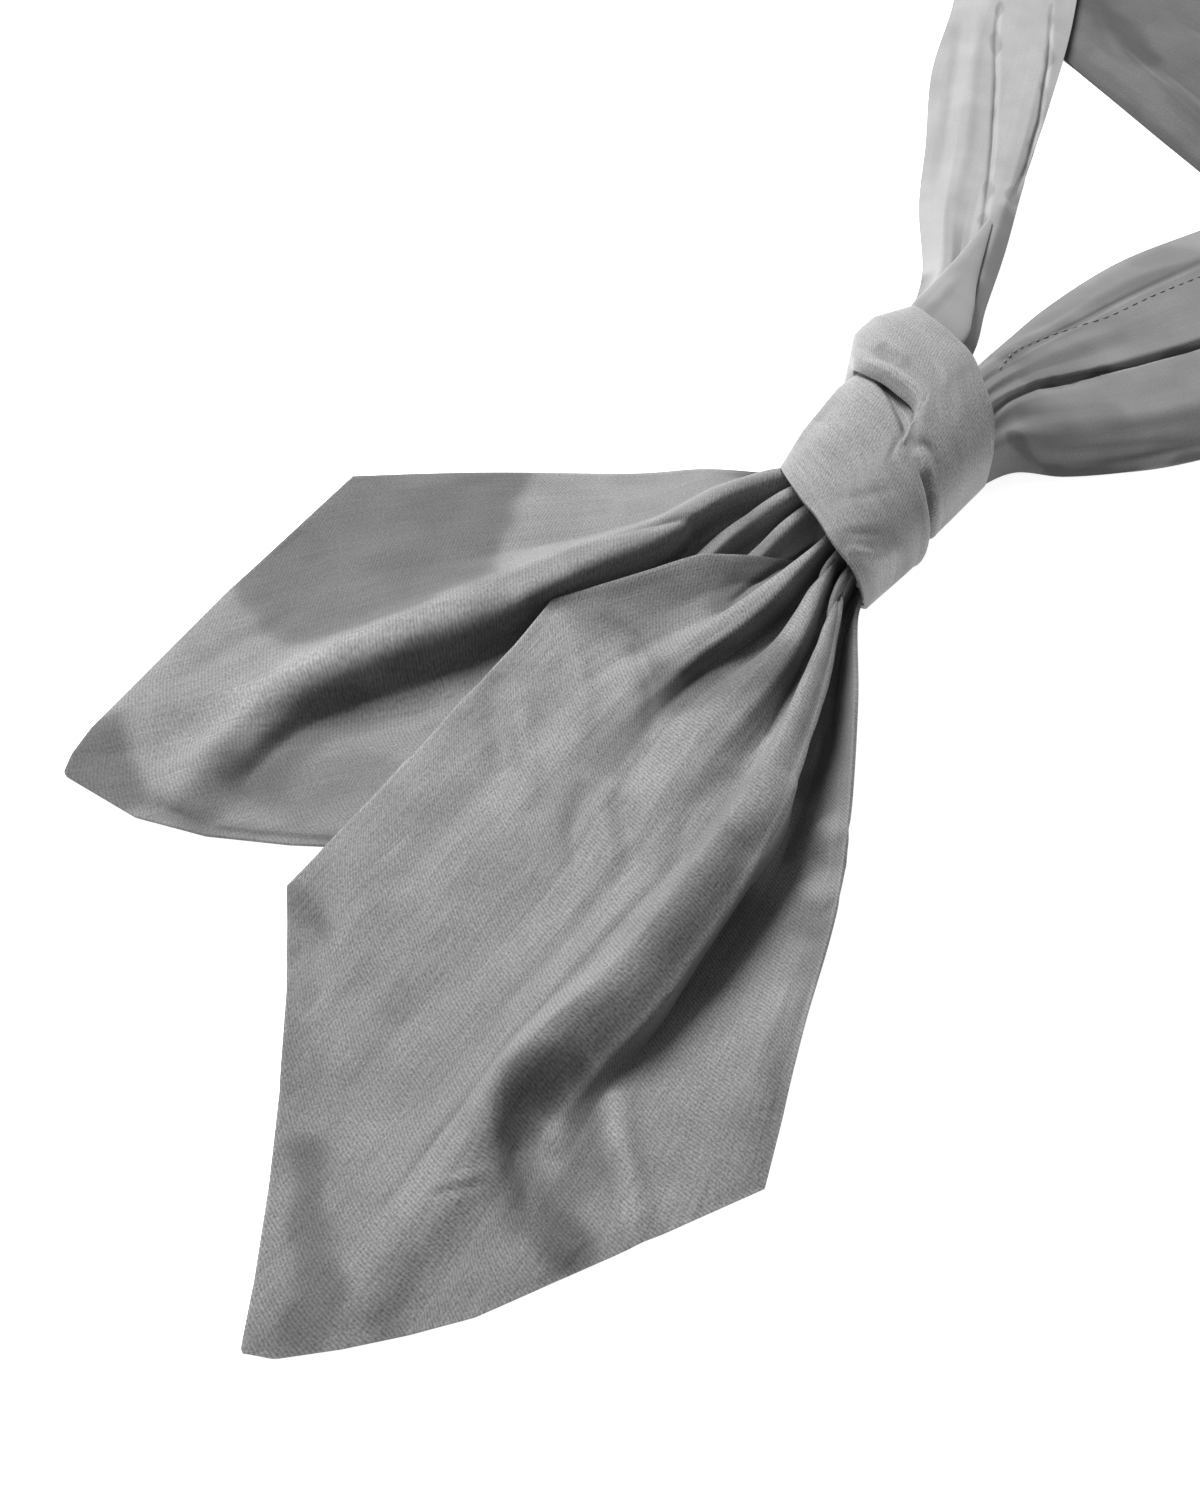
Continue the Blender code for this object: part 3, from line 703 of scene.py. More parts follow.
def blunt(grid, tip, towards, cut):
    """Turn the last few millimetres of a pointed end in, as its folded corner does."""
    towards = np.array(towards) / np.linalg.norm(towards)
    beyond = ((grid[:, :, :2] - KNOT_AT[:2]) / MM - np.array(tip[:2])) @ towards + cut
    back = np.where(beyond > 0, TURNED_IN * beyond, 0.0) * MM
    grid[:, :, :2] -= back[:, :, None] * towards


blunt(front, FRONT_TIP, (0.50, -0.87), 2.8)

# %% Front blade, its crisp elbow
# The turned edge keeps a sharp corner where a smooth curve would round it. Columns: x, y of that edge.
ELBOW_REACH = 0.12              # the share of the width over which the cloth follows its edge
FRONT_ELBOW = ((1.5, -31.5), (-6.6, -37.5), (-17, -46.5), (-23, -57.5), (-30, -69), (-36, -79.5),
               (-33, -95), (-30, -118), (-27, -135))
elbow_x, elbow_y = (np.array(column) * MM + at for column, at in zip(zip(*FRONT_ELBOW), KNOT_AT))
shift = np.interp(front[:, 0, 1], elbow_y[::-1], elbow_x[::-1]) - front[:, 0, 0]
shift[(front[:, 0, 1] > elbow_y[0]) | (front[:, 0, 1] < elbow_y[-1])] = 0.0
front[:, :, 0] += shift[:, None] * np.clip(1 - front_across / ELBOW_REACH, 0, 1)[None, :] ** 2
print("the edge moved by up to", round(abs(shift).max() / MM, 1), "mm")

# %% Front blade, its creases
# Columns: depth, half width, then the path in plan.
FRONT_CREASES = (
    (1.8, 4.5, ((50, -163), (48, -175), (52.5, -183), (62.5, -190), (72, -193), (86, -192))),
    (-2.2, 5.0, ((61, -170), (56, -178), (60, -184), (70, -187), (84, -186))),
    (1.6, 2.6, ((66, -160), (74, -167), (82, -172), (94, -181))),
    (0.45, 0.7, ((54.8, -203.5), (57.9, -198.3), (60.8, -192.8))),
    (-0.45, 0.7, ((55.9, -204.3), (59.0, -199.0), (61.9, -193.6))),
    (-1.5, 3.6, ((31, -88), (32, -101), (39, -114), (42, -126))),
    (1.3, 4.5, ((49, -104), (47, -94), (45, -84))),
    (-1.2, 2.4, ((-24, -75), (-13, -74), (0, -82), (10, -92))),
    (1.1, 3.0, ((-33, -82), (-22, -86), (-8, -96), (2, -110))),
    (-1.2, 3.4, ((-30, -104), (-25, -110), (-16, -116), (-8, -124))),
    (1.1, 3.0, ((-22, -102), (-15, -110), (-5, -117), (4, -126))),
    (1.1, 2.4, ((12, -106), (17, -115), (32, -127))),
    (-0.9, 2.6, ((18, -108), (26, -116), (38, -124))),
    (-0.9, 2.6, ((8, -112), (14, -122), (26, -132))),
    (1.2, 3.0, ((54, -82), (59, -84), (62, -83))),
    (1.2, 3.4, ((61, -96), (66, -98), (71, -98))),
    (-0.8, 2.6, ((57, -90), (63, -91), (67, -90))),
    (-0.8, 2.8, ((66, -106), (71, -107), (75, -106))),
    (0.8, 3.0, ((76, -120), (82, -132), (92, -142))),
    (-0.8, 3.4, ((-20, -182), (-8, -181), (0, -186), (4, -196))),
    (0.7, 3.0, ((-14, -192), (0, -198), (16, -210))),
)
# The sharp lines at the foot of each pleat.
FRONT_LINES = (
    (-1.3, 0.9, ((12.7, -26), (12.4, -36), (9.8, -48), (8.0, -60), (5.0, -70), (4, -78))),
    (-1.0, 0.8, ((16.5, -26), (20.5, -43), (23.3, -54), (27.4, -66), (30.2, -74), (32, -82))),
    (-1.0, 0.9, ((18.6, -28), (24, -40), (29.1, -48), (35.9, -57.5), (42, -65))),
    (-1.0, 0.9, ((4, -26), (-1, -36), (-3, -44), (-3, -52))),
)
press(front, FRONT_CREASES + FRONT_LINES)
ripple(front, 24, 0.9, 1)
ripple(front, 8, 0.22, 2)
keep_on_table(front)
print("front blade creases:", len(FRONT_CREASES + FRONT_LINES))

# %% Front blade, its shade
front_shade = np.ones(front.shape[:2])
# Painted shade where the cloth at the elbow turns down, away from the lamp.
FRONT_ELBOW_PATCH = ((-3, -38), (-12, -46), (-23, -60), (-36, -80), (-22, -84), (-10, -75), (-6, -58))
shade_inside(front_shade, front, FRONT_ELBOW_PATCH, 0.64, 1.6, 2.0, 21)
# Painted light and shade: factors below 1 paint shadow in the pleats' valleys, on the right strip beside
# the long fold and round its end, and shade along the hems, where a second layer keeps the table's light
# out; factors above 1 paint highlight along crests.
# Columns: the path in plan, factor, width in millimetres, raggedness.
FRONT_SHADES = (
    (((4, -25), (-3, -35), (-5.5, -45), (-5, -52)), 0.50, 4.2, 0.8),
    (((12.7, -29), (12.2, -36), (9.8, -48), (8.6, -60), (5.4, -70), (5.1, -75)), 0.55, 1.8, 0.6),
    (((4, -80), (10, -75), (16, -71), (20, -62)), 0.55, 7.0, 2.0),
    (((16.7, -28), (20.5, -43), (23.3, -54), (27.4, -66), (30.2, -74)), 0.60, 1.3, 0.5),
    (((19, -29), (24, -40), (29, -48), (36, -57.5), (42, -65), (46.4, -78), (50.5, -85), (54, -92)),
     0.62, 2.2, 0.8),
    (((20.5, -36), (24.2, -42.2), (29.8, -51.4), (39.3, -66.4), (50.9, -85.9)), 1.14, 0.7, 0.2),
    (((33, -47), (45, -62), (57, -78), (68, -96), (77, -110)), 0.80, 4.5, 1.5),
    (((57, -108), (60, -129), (61.5, -148), (60.4, -162)), 0.64, 4.6, 1.2),
    (((40, -96), (48, -112), (52, -130)), 0.86, 6.0, 2.0),
    (((-21, -177), (-14.3, -176), (-8, -179)), 0.74, 3.4, 1.5),
    (((-18.5, -180), (0.6, -195), (19, -210), (29, -218)), 0.86, 5.0, 2.5),
    (((29, -216), (37, -220), (43.6, -226.6), (50.6, -231.5), (57, -231), (58.4, -241)), 0.60, 4.2, 2.5),
    (((62, -220), (68.7, -228)), 0.74, 4.0, 2.0),
    (((54, -250), (61, -243), (71, -226), (80, -208), (92, -180)), 0.84, 4.0, 2.5),
    (((58, -166), (55, -176), (60, -186), (72, -192), (84, -192)), 0.66, 5.0, 1.5),
    (((68, -162), (76, -170), (82, -172), (92, -180)), 1.25, 2.2, 0.8),
    (((66, -170), (73, -175), (76, -187), (84, -192)), 0.66, 4.5, 1.5),
    (((48, -100), (46, -92), (44, -84)), 1.18, 4.5, 1.5),
    (((34, -92), (38, -108), (42, -122)), 0.86, 6.0, 2.5),
    (((57, -83), (66, -97)), 1.2, 3.0, 1.5),
    (((76, -104), (84, -122), (98, -148)), 0.86, 5.0, 2.0),
)
# Painted shadow below the end of the long fold.
FRONT_NOSE = ((46.1, -175.1), (51.1, -182.2), (59.6, -189.0), (69.9, -195.4), (71.3, -192.8),
              (65.2, -184.7), (61.8, -177.0), (60.3, -162.3), (53.0, -159.6), (48.7, -167.3))
shade_inside(front_shade, front, FRONT_NOSE, 0.66, 0.5, 0.8, 24)
shade_lines(front_shade, front, FRONT_SHADES, 60)
front_shade *= 1 + 0.09 * uneven(front, 14, 27) + 0.05 * uneven(front, 5, 28)
# Painted highlight along the turned edge of the front blade.
PAINTED_EDGE_HIGHLIGHT = (1.3, 1.4)         # how much lighter the turned edge is, and how many millimetres wide
rim(front_shade, front, *PAINTED_EDGE_HIGHLIGHT)
print("front blade shade from", round(front_shade.min(), 2), "to", round(front_shade.max(), 2))

# %% Front blade, the piece
front_u, front_v = strip_map(front, front_across, CUT_WIDTH)
front_mesh = mesh_from_grid("front_blade_sheet", front, front_u, front_v, front_shade)
dress("front_blade_sheet", front_mesh, "front_blade", cloth["front"], WALL)

# %% [markdown]
# ## The back blade
#
# The other end of the strip lies to the left and runs under the front blade. Its top edge is almost
# flat; one long ridge crosses it and throws a deep shadow on its lower side.

# %% Back blade, its sections and folds
BACK_SECTIONS = {
    "throat": (-14.5, -13.5, 0.8, -22.9, 1.0, 1.00),
    "mouth": (-20.5, -17.3, 0.5, -33, 1.0, 0.95),
    "near": (-34, -24, 0, -44, 1.2, 0.85),
    "bend": (-50, -35, 3, -72, 3.0, 0.50),
    "middle": (-74, -54, 6, -99, 4.0, 0.40),
    "low": (-92, -70, 7, -119, 4.5, 0.35),
    "corner": (-106, -84, 8, -136, 2.5, 0.35),
}
BACK_TIP = (-85, -194, 3.2, 9.2, 2)
BACK_FOLDS = {
    "top_edge": (0,
        (0, 17), (0, 17), (0, 13), (0, 7.5), (0, 4), (0, 2), (0, 1), 0),
    "top_trough": (0.22,
        (0.125, 15), (0.125, 15), (0.13, 13), (0.2, 8), (0.22, 4), (0.22, 3), (0.22, 2), 0.8),
    "long_ridge": (0.44,
        (0.25, 24), (0.25, 24), (0.26, 17), (0.39, 14), (0.425, 12), (0.45, 9), (0.45, 6), 2.5),
    "middle_line": (0.5,
        (0.375, 12), (0.375, 12), (0.39, 8), (0.49, 2.5), (0.545, 1), (0.585, 1), (0.62, 0.8), 0),
    "second_ridge": (0.6,
        (0.5, 25), (0.5, 23), (0.5, 13), (0.58, 4.5), (0.64, 1.4), (0.68, 1), (0.7, 0), 0),
    "second_valley": (0.68,
        (0.625, 12), (0.625, 12), (0.61, 6), (0.66, 2), (0.71, 0.8), (0.74, 0), (0.76, 0), 0),
    "third_ridge": (0.77,
        (0.75, 23), (0.75, 20), (0.72, 8.5), (0.73, 1.2), (0.77, 0), (0.79, 0), (0.81, 0), 0),
    "third_valley": (0.87,
        (0.875, 8), (0.875, 6), (0.86, 1.2), (0.84, 0), (0.87, 0), (0.88, 0), (0.9, 0), 0),
    "under_edge": (1,
        (1, 9), (1, 8), (1, 0.8), (1, 0), (1, 0), (1, 0), (1, 0), 0),
}

# %% Back blade, its sheet
BACK_LEANS = {
    "top_trough": (0.0, 3.0, 0.30, 1.2),
    "long_ridge": (0.0, 3.0, 0.46, 1.2),
    "middle_line": (0.46, 1.0, 0.0, 2.0),
    "second_ridge": (0.0, 1.2, 0.0, 1.0),
}
back, back_across = sheet_grid(BACK_SECTIONS, BACK_FOLDS, 190, 200, BACK_TIP, BACK_LEANS)
relax(back, 2)
blunt(back, BACK_TIP, (-0.80, -0.60), 1.6)

# %% Back blade, its creases and shade
BACK_CREASES = (
    (-0.8, 1.2, ((-11, -22.5), (-19, -31), (-26, -41), (-33, -52), (-38, -61))),
    (5.0, 6.5, ((-46, -86), (-54, -108), (-60, -126), (-63.5, -141), (-64, -153), (-62, -166),
                (-57, -182))),
    (1.6, 2.6, ((-43, -94), (-50, -113), (-55, -128), (-58, -141), (-58, -153), (-55, -168))),
    (-1.6, 5.0, ((-38, -105), (-44, -128), (-48, -142), (-49, -156), (-48, -166))),
    (-0.6, 3.0, ((-80, -120), (-84, -140), (-86, -160))),
)
press(back, BACK_CREASES)
ripple(back, 22, 0.8, 3)
ripple(back, 8, 0.2, 4)
keep_on_table(back)
back_shade = np.ones(back.shape[:2])
# Painted shade: the corner by the top edge, where a second layer underneath keeps the table's light out,
# and the turned point.
BACK_CORNER_PATCH = ((-112, -84), (-74, -48), (-64, -66), (-53, -84), (-55, -103), (-63, -121),
                     (-74, -134), (-101, -130))
BACK_TIP_PATCH = ((-84, -200), (-96, -186), (-88, -174), (-79, -178), (-61, -184), (-66, -192))
shade_inside(back_shade, back, BACK_CORNER_PATCH, 0.50, 0.9, 1.6, 31)
shade_inside(back_shade, back, BACK_TIP_PATCH, 0.48, 0.8, 0.8, 33)
# Painted light and shade: factors below 1 paint the shadow beside the trough by the knot, the shadow the
# long ridge throws, shade on the lower panel and a dark line between the hem's layers; factors above 1
# paint light on the ridge's crest and near the top edge.
BACK_SHADES = (
    (((-16, -27), (-22, -40), (-29, -56), (-34, -70), (-38, -84)), 0.74, 2.0, 0.8),
    (((-33.7, -81), (-41.5, -107), (-46.7, -128), (-51.8, -140), (-52, -150), (-50, -158), (-51, -164)),
     0.58, 6.5, 1.5),
    (((-40, -75), (-49, -100), (-62, -126), (-65, -141), (-65, -153), (-65, -167), (-60, -176)),
     1.15, 3.5, 1.5),
    (((-53, -178), (-58, -171), (-50, -166), (-40, -158), (-34, -146)), 0.76, 7.0, 2.0),
    (((-60, -184), (-45, -178), (-26, -163)), 0.80, 3.0, 1.5),
    (((-46, -177.5), (-38, -171.5), (-26, -161.5), (-12, -150)), 0.60, 0.7, 0.1),
    (((-60, -44), (-44, -37), (-28, -32)), 1.12, 5.0, 2.0),
)
shade_lines(back_shade, back, BACK_SHADES, 90)
back_shade *= 1 + 0.10 * uneven(back, 14, 36) + 0.05 * uneven(back, 5, 37)
# Painted highlight along the turned edge of the back blade.
rim(back_shade, back, *PAINTED_EDGE_HIGHLIGHT)
print("back blade shade from", round(back_shade.min(), 2), "to", round(back_shade.max(), 2))

# %% Back blade, the piece
back_u, back_v = strip_map(back, back_across, CUT_WIDTH)
back_mesh = mesh_from_grid("back_blade_sheet", back, back_u, back_v, back_shade)
dress("back_blade_sheet", back_mesh, "back_blade", cloth["back"], WALL)

# %% [markdown]
# ## The knot
#
# The strip goes once round itself, so two turns show. Each is a ring of cloth pulled smooth, rounded on
# top and flat where it rests. At one side the upper turn lies over the lower one and at the other side
# it dips under it, which is what makes a knot read as tied.

# %% Knot, its rings and edges
WRAP_WALL = 1.0 * MM
GAP = 0.3 * MM
ROUNDNESS = 2.5             # 2 is an ellipse, more is squarer
UNDERCUT = 1.06             # how far the outline would reach past its flat underside
LOWER_TUCK = 1.0            # how deep the lower wrap's edge dips under the upper one
UPPER_TUCK = 2.3            # how deep the upper wrap's edge dips under the lower one
TUCK_REACH = 0.28           # the share of the wrap's length over which it dips
ROLL = 0.7                  # how far a free edge rolls down onto the wrap beneath
SWELL = 0.35                # how far the cloth swells just behind that rolled edge
ROLL_WIDTH = 0.05           # how wide the roll and the swell are, as a share of the wrap's length
SWELL_AT = 0.10             # where the swell is highest
TUCK_PITCH = 1.6            # how soon it is at its full depth, 1 is only at the edge

# Columns: share of the way from a wrap's first edge to its second, left x, right x, top z.
LOWER_RINGS = (
    (0.0, -17.5, 21.3, 30.8),
    (0.3, -21.5, 21.4, 32.0),
    (0.7, -25.0, 21.4, 32.4),
    (1.0, -27.0, 21.0, 32.0),
)
UPPER_RINGS = (
    (0.00, -27.3, 19.8, 32.8),
    (0.15, -31.0, 19.4, 33.8),
    (0.35, -34.5, 18.8, 34.2),
    (0.60, -35.0, 18.2, 34.0),
    (1.00, -32.0, 16.8, 31.5),
)
# Columns: y at x = 0, slant (y lost for each x), left x, right x, top z.
CORE_RINGS = (
    (-21.9, 0.25, -13.0, 17.0, 28.0),
    (-8.0, 0.20, -15.2, 15.2, 26.6),
    (11.0, 0.20, -16.2, 15.4, 26.6),
    (17.0, 0.30, -20.5, 16.0, 28.0),
    (23.3, 0.42, -25.0, 15.0, 27.6),
)

# Where each wrap's edge lies. Columns: angle round the knot from +X over the top, y.
THROAT_EDGE = (
    (0, -31), (35, -33), (62, -33.5), (92, -30), (105, -28), (118, -26),
    (150, -20.5), (180, -17), (215, -20), (270, -24), (325, -26), (345, -28.5),
)
LOWER_TOP_EDGE = (
    (0, -6), (36, -4.7), (50, -2.9), (63, -0.9), (73, 0.8), (77, 2.4), (80, 6.5), (84, 11.5), (88, 13.6),
    (94, 14.6), (106, 15.6), (120, 17), (135, 19),
    (150, 21), (177, 25), (200, 22), (215, 17), (240, 9), (270, 1), (325, -5),
)
UPPER_LOW_EDGE = (
    (0, -11), (30, -10), (50, -9), (60, -7), (68, -4), (73, -1), (76.5, 3.2), (79, 7.2), (82, 9.8),
    (86, 11.2), (95, 12.3), (106, 13.1), (118, 13.6), (140, 16), (160, 19), (177, 20.8), (200, 17.5),
    (215, 13), (270, 3), (325, -3), (342, -9),
)
FAR_EDGE = (
    (0, 22), (22, 24), (45, 28), (66, 32), (86, 37), (118, 41),
    (150, 45), (180, 45), (215, 41), (270, 33), (325, 25),
)
# Angles where a wrap starts to dip, is fully under, leaves again and is out.
LOWER_TUCKED = (73, 90, 207, 222)
UPPER_TUCKED = (-42, -27, 62, 80)


# %% Knot, its surfaces
def periodic(table, angles):
    """Read a table of (angle, value) rows round a full turn, smoothly."""
    table = sorted(table)
    knots = np.array([a for a, _ in table], float)
    values = np.array([v for _, v in table], float)
    knots = np.concatenate([knots - 360, knots, knots + 360])
    return curve_through(knots, np.tile(values, 3)[:, None], angles)[:, 0]


def ring(left, right, top, angles, floor_height, shrink=0.0):
    """A rounded outline in x and z with a flat underside."""
    half_width = 0.5 * (right - left) - shrink
    half_height = 0.5 * (top - floor_height) * UNDERCUT - shrink
    cosine = np.cos(np.radians(angles))
    sine = np.sin(np.radians(angles))
    x = 0.5 * (left + right) + half_width * np.sign(cosine) * np.abs(cosine) ** (2 / ROUNDNESS)
    z = 0.5 * (top + floor_height) + half_height * np.sign(sine) * np.abs(sine) ** (2 / ROUNDNESS)
    return x, np.maximum(z, floor_height)


def tucked(angles, limits):
    """1 where a wrap's edge lies under the other wrap, 0 where it is on top, eased between."""
    turned = np.mod(angles - limits[0], 360.0)
    start, full, leave, out = (limit - limits[0] for limit in limits)
    going_in = np.clip(turned / (full - start), 0, 1)
    coming_out = np.clip((out - turned) / (out - leave), 0, 1)
    amount = np.minimum(going_in, coming_out)
    return amount * amount * (3 - 2 * amount)


def wrap_surface(rings, first_edge, second_edge, dip_limits, tuck, dip_at_start, rows, columns):
    """Rows of points round the knot, from one edge of a wrap to the other."""
    angles = np.linspace(-90.0, 270.0, columns)
    first = periodic(first_edge, angles)
    second = periodic(second_edge, angles)
    shares = [row[0] for row in rings]
    dip = tucked(angles, dip_limits)
    grid = []
    for v in np.linspace(0.0, 1.0, rows):
        left, right, top = (np.interp(v, shares, [row[c] for row in rings]) for c in (1, 2, 3))
        from_edge = v if dip_at_start else 1.0 - v
        depth = np.clip((1.0 - from_edge / TUCK_REACH) * TUCK_PITCH, 0.0, 1.0)
        roll = ROLL * np.clip(1.0 - from_edge / ROLL_WIDTH, 0, 1) ** 2
        swell = SWELL * np.exp(-((from_edge - SWELL_AT) / ROLL_WIDTH) ** 2)
        rolled = (1.0 - dip) * (roll - swell)
        x, z = ring(left, right, top, angles, WRAP_WALL / 2 / MM, tuck * dip * depth + rolled)
        grid.append(np.stack([x, first + v * (second - first), z], axis=1))
    return np.array(grid) * MM + KNOT_AT


def wrap_map(grid):
    """Strip coordinates of a wrap: across it by its rows, along it round the knot."""
    down = np.linalg.norm(np.diff(grid, axis=0), axis=2).mean(axis=1)
    round_it = np.linalg.norm(np.diff(grid, axis=1), axis=2).mean(axis=0)
    u = np.concatenate([[0.0], np.cumsum(down)])[:, None]
    v = np.concatenate([[0.0], np.cumsum(round_it)])[None, :]
    return np.broadcast_to(u, grid.shape[:2]), np.broadcast_to(v, grid.shape[:2])


# %% Knot, its creases
HIDDEN_BELOW = 12 * MM      # creases are pressed only into the cloth above this height
lower = wrap_surface(LOWER_RINGS, THROAT_EDGE, LOWER_TOP_EDGE, LOWER_TUCKED, LOWER_TUCK, False, 70, 260)
upper = wrap_surface(UPPER_RINGS, UPPER_LOW_EDGE, FAR_EDGE, UPPER_TUCKED, UPPER_TUCK, True, 70, 260)
# Columns: depth, half width, the path in plan and, for one, its sharpness.
LOWER_CREASES = (
    (-1.5, 1.7, ((-14, 14.2), (-8, 11.9), (-4.5, 10.2), (-1, 8.3), (1.5, 6.2), (3.1, 3.2)), 3.0),
    (-0.30, 1.0, ((-22, 9), (-18, 6), (-14, 4))),
    (-0.30, 1.0, ((-21, 3), (-17.5, 0), (-14, -1.5))),
    (-0.30, 1.0, ((-20, -4), (-16.5, -6), (-13, -7))),
    (0.25, 1.0, ((-21.5, 6), (-18, 3), (-14, 1))),
    (0.25, 1.0, ((-20.5, -1), (-17, -3), (-13.5, -4.5))),
    (-0.5, 1.2, ((12, -30), (16, -24), (18.5, -18))),
    (0.8, 1.1, ((15, -32), (19, -27), (21, -20))),
    (-0.3, 1.6, ((4, -26), (9, -18), (12, -10))),
)
UPPER_CREASES = (
    (1.0, 1.5, ((-27, 18), (-20, 16), (-12, 15.8), (-5, 15.2), (0, 13.4), (2.8, 10.8), (3.8, 8.2))),
    (-0.5, 1.2, ((7, 3.6), (9, 4.4), (12, 4.2))),
    (0.9, 1.1, ((8, 1.4), (10.5, 1.2), (13, 0), (16, -2))),
    (-1.0, 1.3, ((13, -1.5), (16, -2.6), (18.4, -4.6), (20.5, -7.6))),
    (0.7, 1.4, ((18.5, 0.5), (20.8, -3), (22.3, -6.5))),
    (-0.7, 2.2, ((-21, 21), (-17, 19.5), (-13, 19.5))),
    (-0.4, 1.8, ((-18, 30), (-12, 28), (-6, 25), (0, 20))),
    (0.35, 1.8, ((-10, 33), (-2, 29), (6, 21), (12, 12))),
)
for grid, creases in ((lower, LOWER_CREASES), (upper, UPPER_CREASES)):
    visible = grid[:, :, 2] > HIDDEN_BELOW
    held = grid.copy()
    press(grid, creases)
    grid[~visible] = held[~visible]
print("knot creases:", len(LOWER_CREASES + UPPER_CREASES))

# %% Knot, its shade and its two turns
# Painted light and shade: factors below 1 paint shadow in creases and under rolled edges, factors above 1
# paint highlight on the rolls and a lighter right side where the table's light reaches.
# Columns: the path in plan, factor, width in millimetres, raggedness.
LOWER_SHADES = (
    (((-24, 10), (-20, 0), (-17, -12)), 0.80, 2.2, 1.2),
    (((12, -31), (17, -25), (20, -17)), 0.84, 2.0, 0.8),
    (((16, -32), (20.5, -26), (22, -18)), 1.25, 1.3, 0.4),
    (((14, -32), (20, -20), (22, -8)), 1.22, 8.0, 1.0),
    (((-12.5, 13.4), (-8.8, 10.8), (-5, 8.3), (-1, 5.5), (3.1, 2.8)), 0.45, 0.7, 0.1),
    (((-14, 14), (-7, 13), (-1, 11.6), (2.4, 8.6)), 0.62, 1.0, 0.1),
)
UPPER_SHADES = (
    (((5.5, 3.4), (7.4, 4.2), (9, 4.6), (12, 4.2)), 0.74, 1.1, 0.3),
    (((13.5, -1.5), (16.5, -2.6), (18.6, -4.6), (20.7, -7.6)), 0.60, 1.5, 0.3),
    (((-21, 21), (-17, 19.5), (-13, 19.5)), 0.82, 2.4, 0.8),
    (((-20, 15.2), (-12, 16), (-5, 15.8), (0, 14.2), (3.2, 11.2), (4.4, 8)), 1.16, 1.2, 0.3),
    (((4, 37), (12, 32), (19, 26), (22, 22)), 1.16, 1.6, 0.4),
    (((20, -8), (20, 6), (18, 20)), 1.25, 8.0, 1.0),
)
for name, grid, node, shades, seed in (
        ("knot_lower_turn", lower, "knot_wrap_lower", LOWER_SHADES, 71),
        ("knot_upper_turn", upper, "knot_wrap_upper", UPPER_SHADES, 72)):
    u, v = wrap_map(grid)
    shade = 1 + 0.07 * uneven(grid, 9, seed) + 0.04 * uneven(grid, 3, seed + 5)
    for path, factor, width, ragged in shades:
        shade_along(shade, grid, path, factor, width, ragged, seed)
    shade[:, -1] = shade[:, 0]
    wrap_mesh = mesh_from_grid(name, grid, u, v, shade, closed=True)
    dress(name, wrap_mesh, node, cloth["wrap"], WRAP_WALL)

# %% Knot, the layers inside it
CAP_BEAD = 1.2 * MM         # how far apart the layers lie that show at the open ends
CAP_GROOVE = 0.3 * MM       # how wide the groove between two of them is
CAP_STEP = 0.4 * MM         # how deep it is
angles = np.linspace(-90.0, 270.0, 97)
core_rows = []
for y, slant, left, right, top in CORE_RINGS:
    x, z = ring(left, right, top, angles, (WRAP_WALL + GAP) / MM)
    core_rows.append(np.stack([x, y - slant * x, z], axis=1))
core = np.array(core_rows) * MM + KNOT_AT
core_u, core_v = wrap_map(core)
core_shade = np.ones(core.shape[:2])
core_mesh = mesh_from_grid("knot_inner_layers", core, core_u, core_v, core_shade, closed=True)
bm = bmesh.new()
bm.from_mesh(core_mesh)
caps = bmesh.ops.holes_fill(bm, edges=[edge for edge in bm.edges if edge.is_boundary])["faces"]
bmesh.ops.recalc_face_normals(bm, faces=bm.faces)
for cap in caps:
    for step in range(4):
        bmesh.ops.inset_region(bm, faces=[cap], thickness=CAP_BEAD, depth=0.0)
        height = -CAP_STEP if step % 2 else CAP_STEP
        bmesh.ops.inset_region(bm, faces=[cap], thickness=CAP_GROOVE, depth=height)
bm.to_mesh(core_mesh)
bm.free()
core_mesh.materials.append(cloth["core"])
core_piece = add_object("knot_inner_layers", core_mesh)
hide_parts("knot_core")
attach(core_piece, "root")
print("inner layers:", len(core_mesh.polygons), "faces")

# %% [markdown]
# ## The neck loop
#
# Two strands leave the far side of the knot. The left one is the narrower one and lies almost flat. The
# right one opens into two round lobes with a deep valley between them. Both end on the neck's back, a
# flat width of the strip that lies beneath them. The photograph's edge hides it, so it is a guess.

# %% Left strand, its sections and folds
LEFT_SECTIONS = {
    "knot": (-24.5, 34.4, -9.5, 28.1, 1.2, 0.80),
    "mouth": (-34, 52, -13.5, 52, 2.0, 0.60),
    "twist": (-47, 75, -26, 76, 2.0, 0.45),
    "spread": (-68, 99, -38, 100, 2.5, 0.40),
    "flat": (-84, 121, -52, 126, 2.5, 0.30),
    "middle": (-105, 149, -69, 160, 2.5, 0.30),
    "top": (-121, 178, -88, 196, 2.5, 0.30),
    "end": (-133, 197, -109, 230, 2.5, 0.30),
}
LEFT_FOLDS = {
    "left_edge": (0,
        (0, 13), (0, 12), (0, 6), (0, 3), (0, 2.4), (0, 2.2), (0, 2.2), (0, 2.2)),
    "crown": (0.35,
        (0.25, 21), (0.3, 18), (0.33, 11.5), (0.36, 6.8),
        (0.36, 4.8), (0.35, 3.8), (0.35, 3.6), (0.35, 3.6)),
    "seam": (0.6,
        (0.5, 18), (0.48, 15), (0.52, 9.5), (0.56, 6.4), (0.58, 4.8), (0.6, 4), (0.6, 3.9), (0.6, 3.9)),
    "layer": (0.8,
        (0.75, 20), (0.7, 16.5), (0.74, 10.5), (0.8, 7.4),
        (0.84, 5.2), (0.82, 4.4), (0.8, 3.8), (0.8, 3.8)),
    "right_edge": (1,
        (1, 11), (1, 12), (1, 7), (1, 4), (1, 3), (1, 3), (1, 2.6), (1, 2.4)),
}
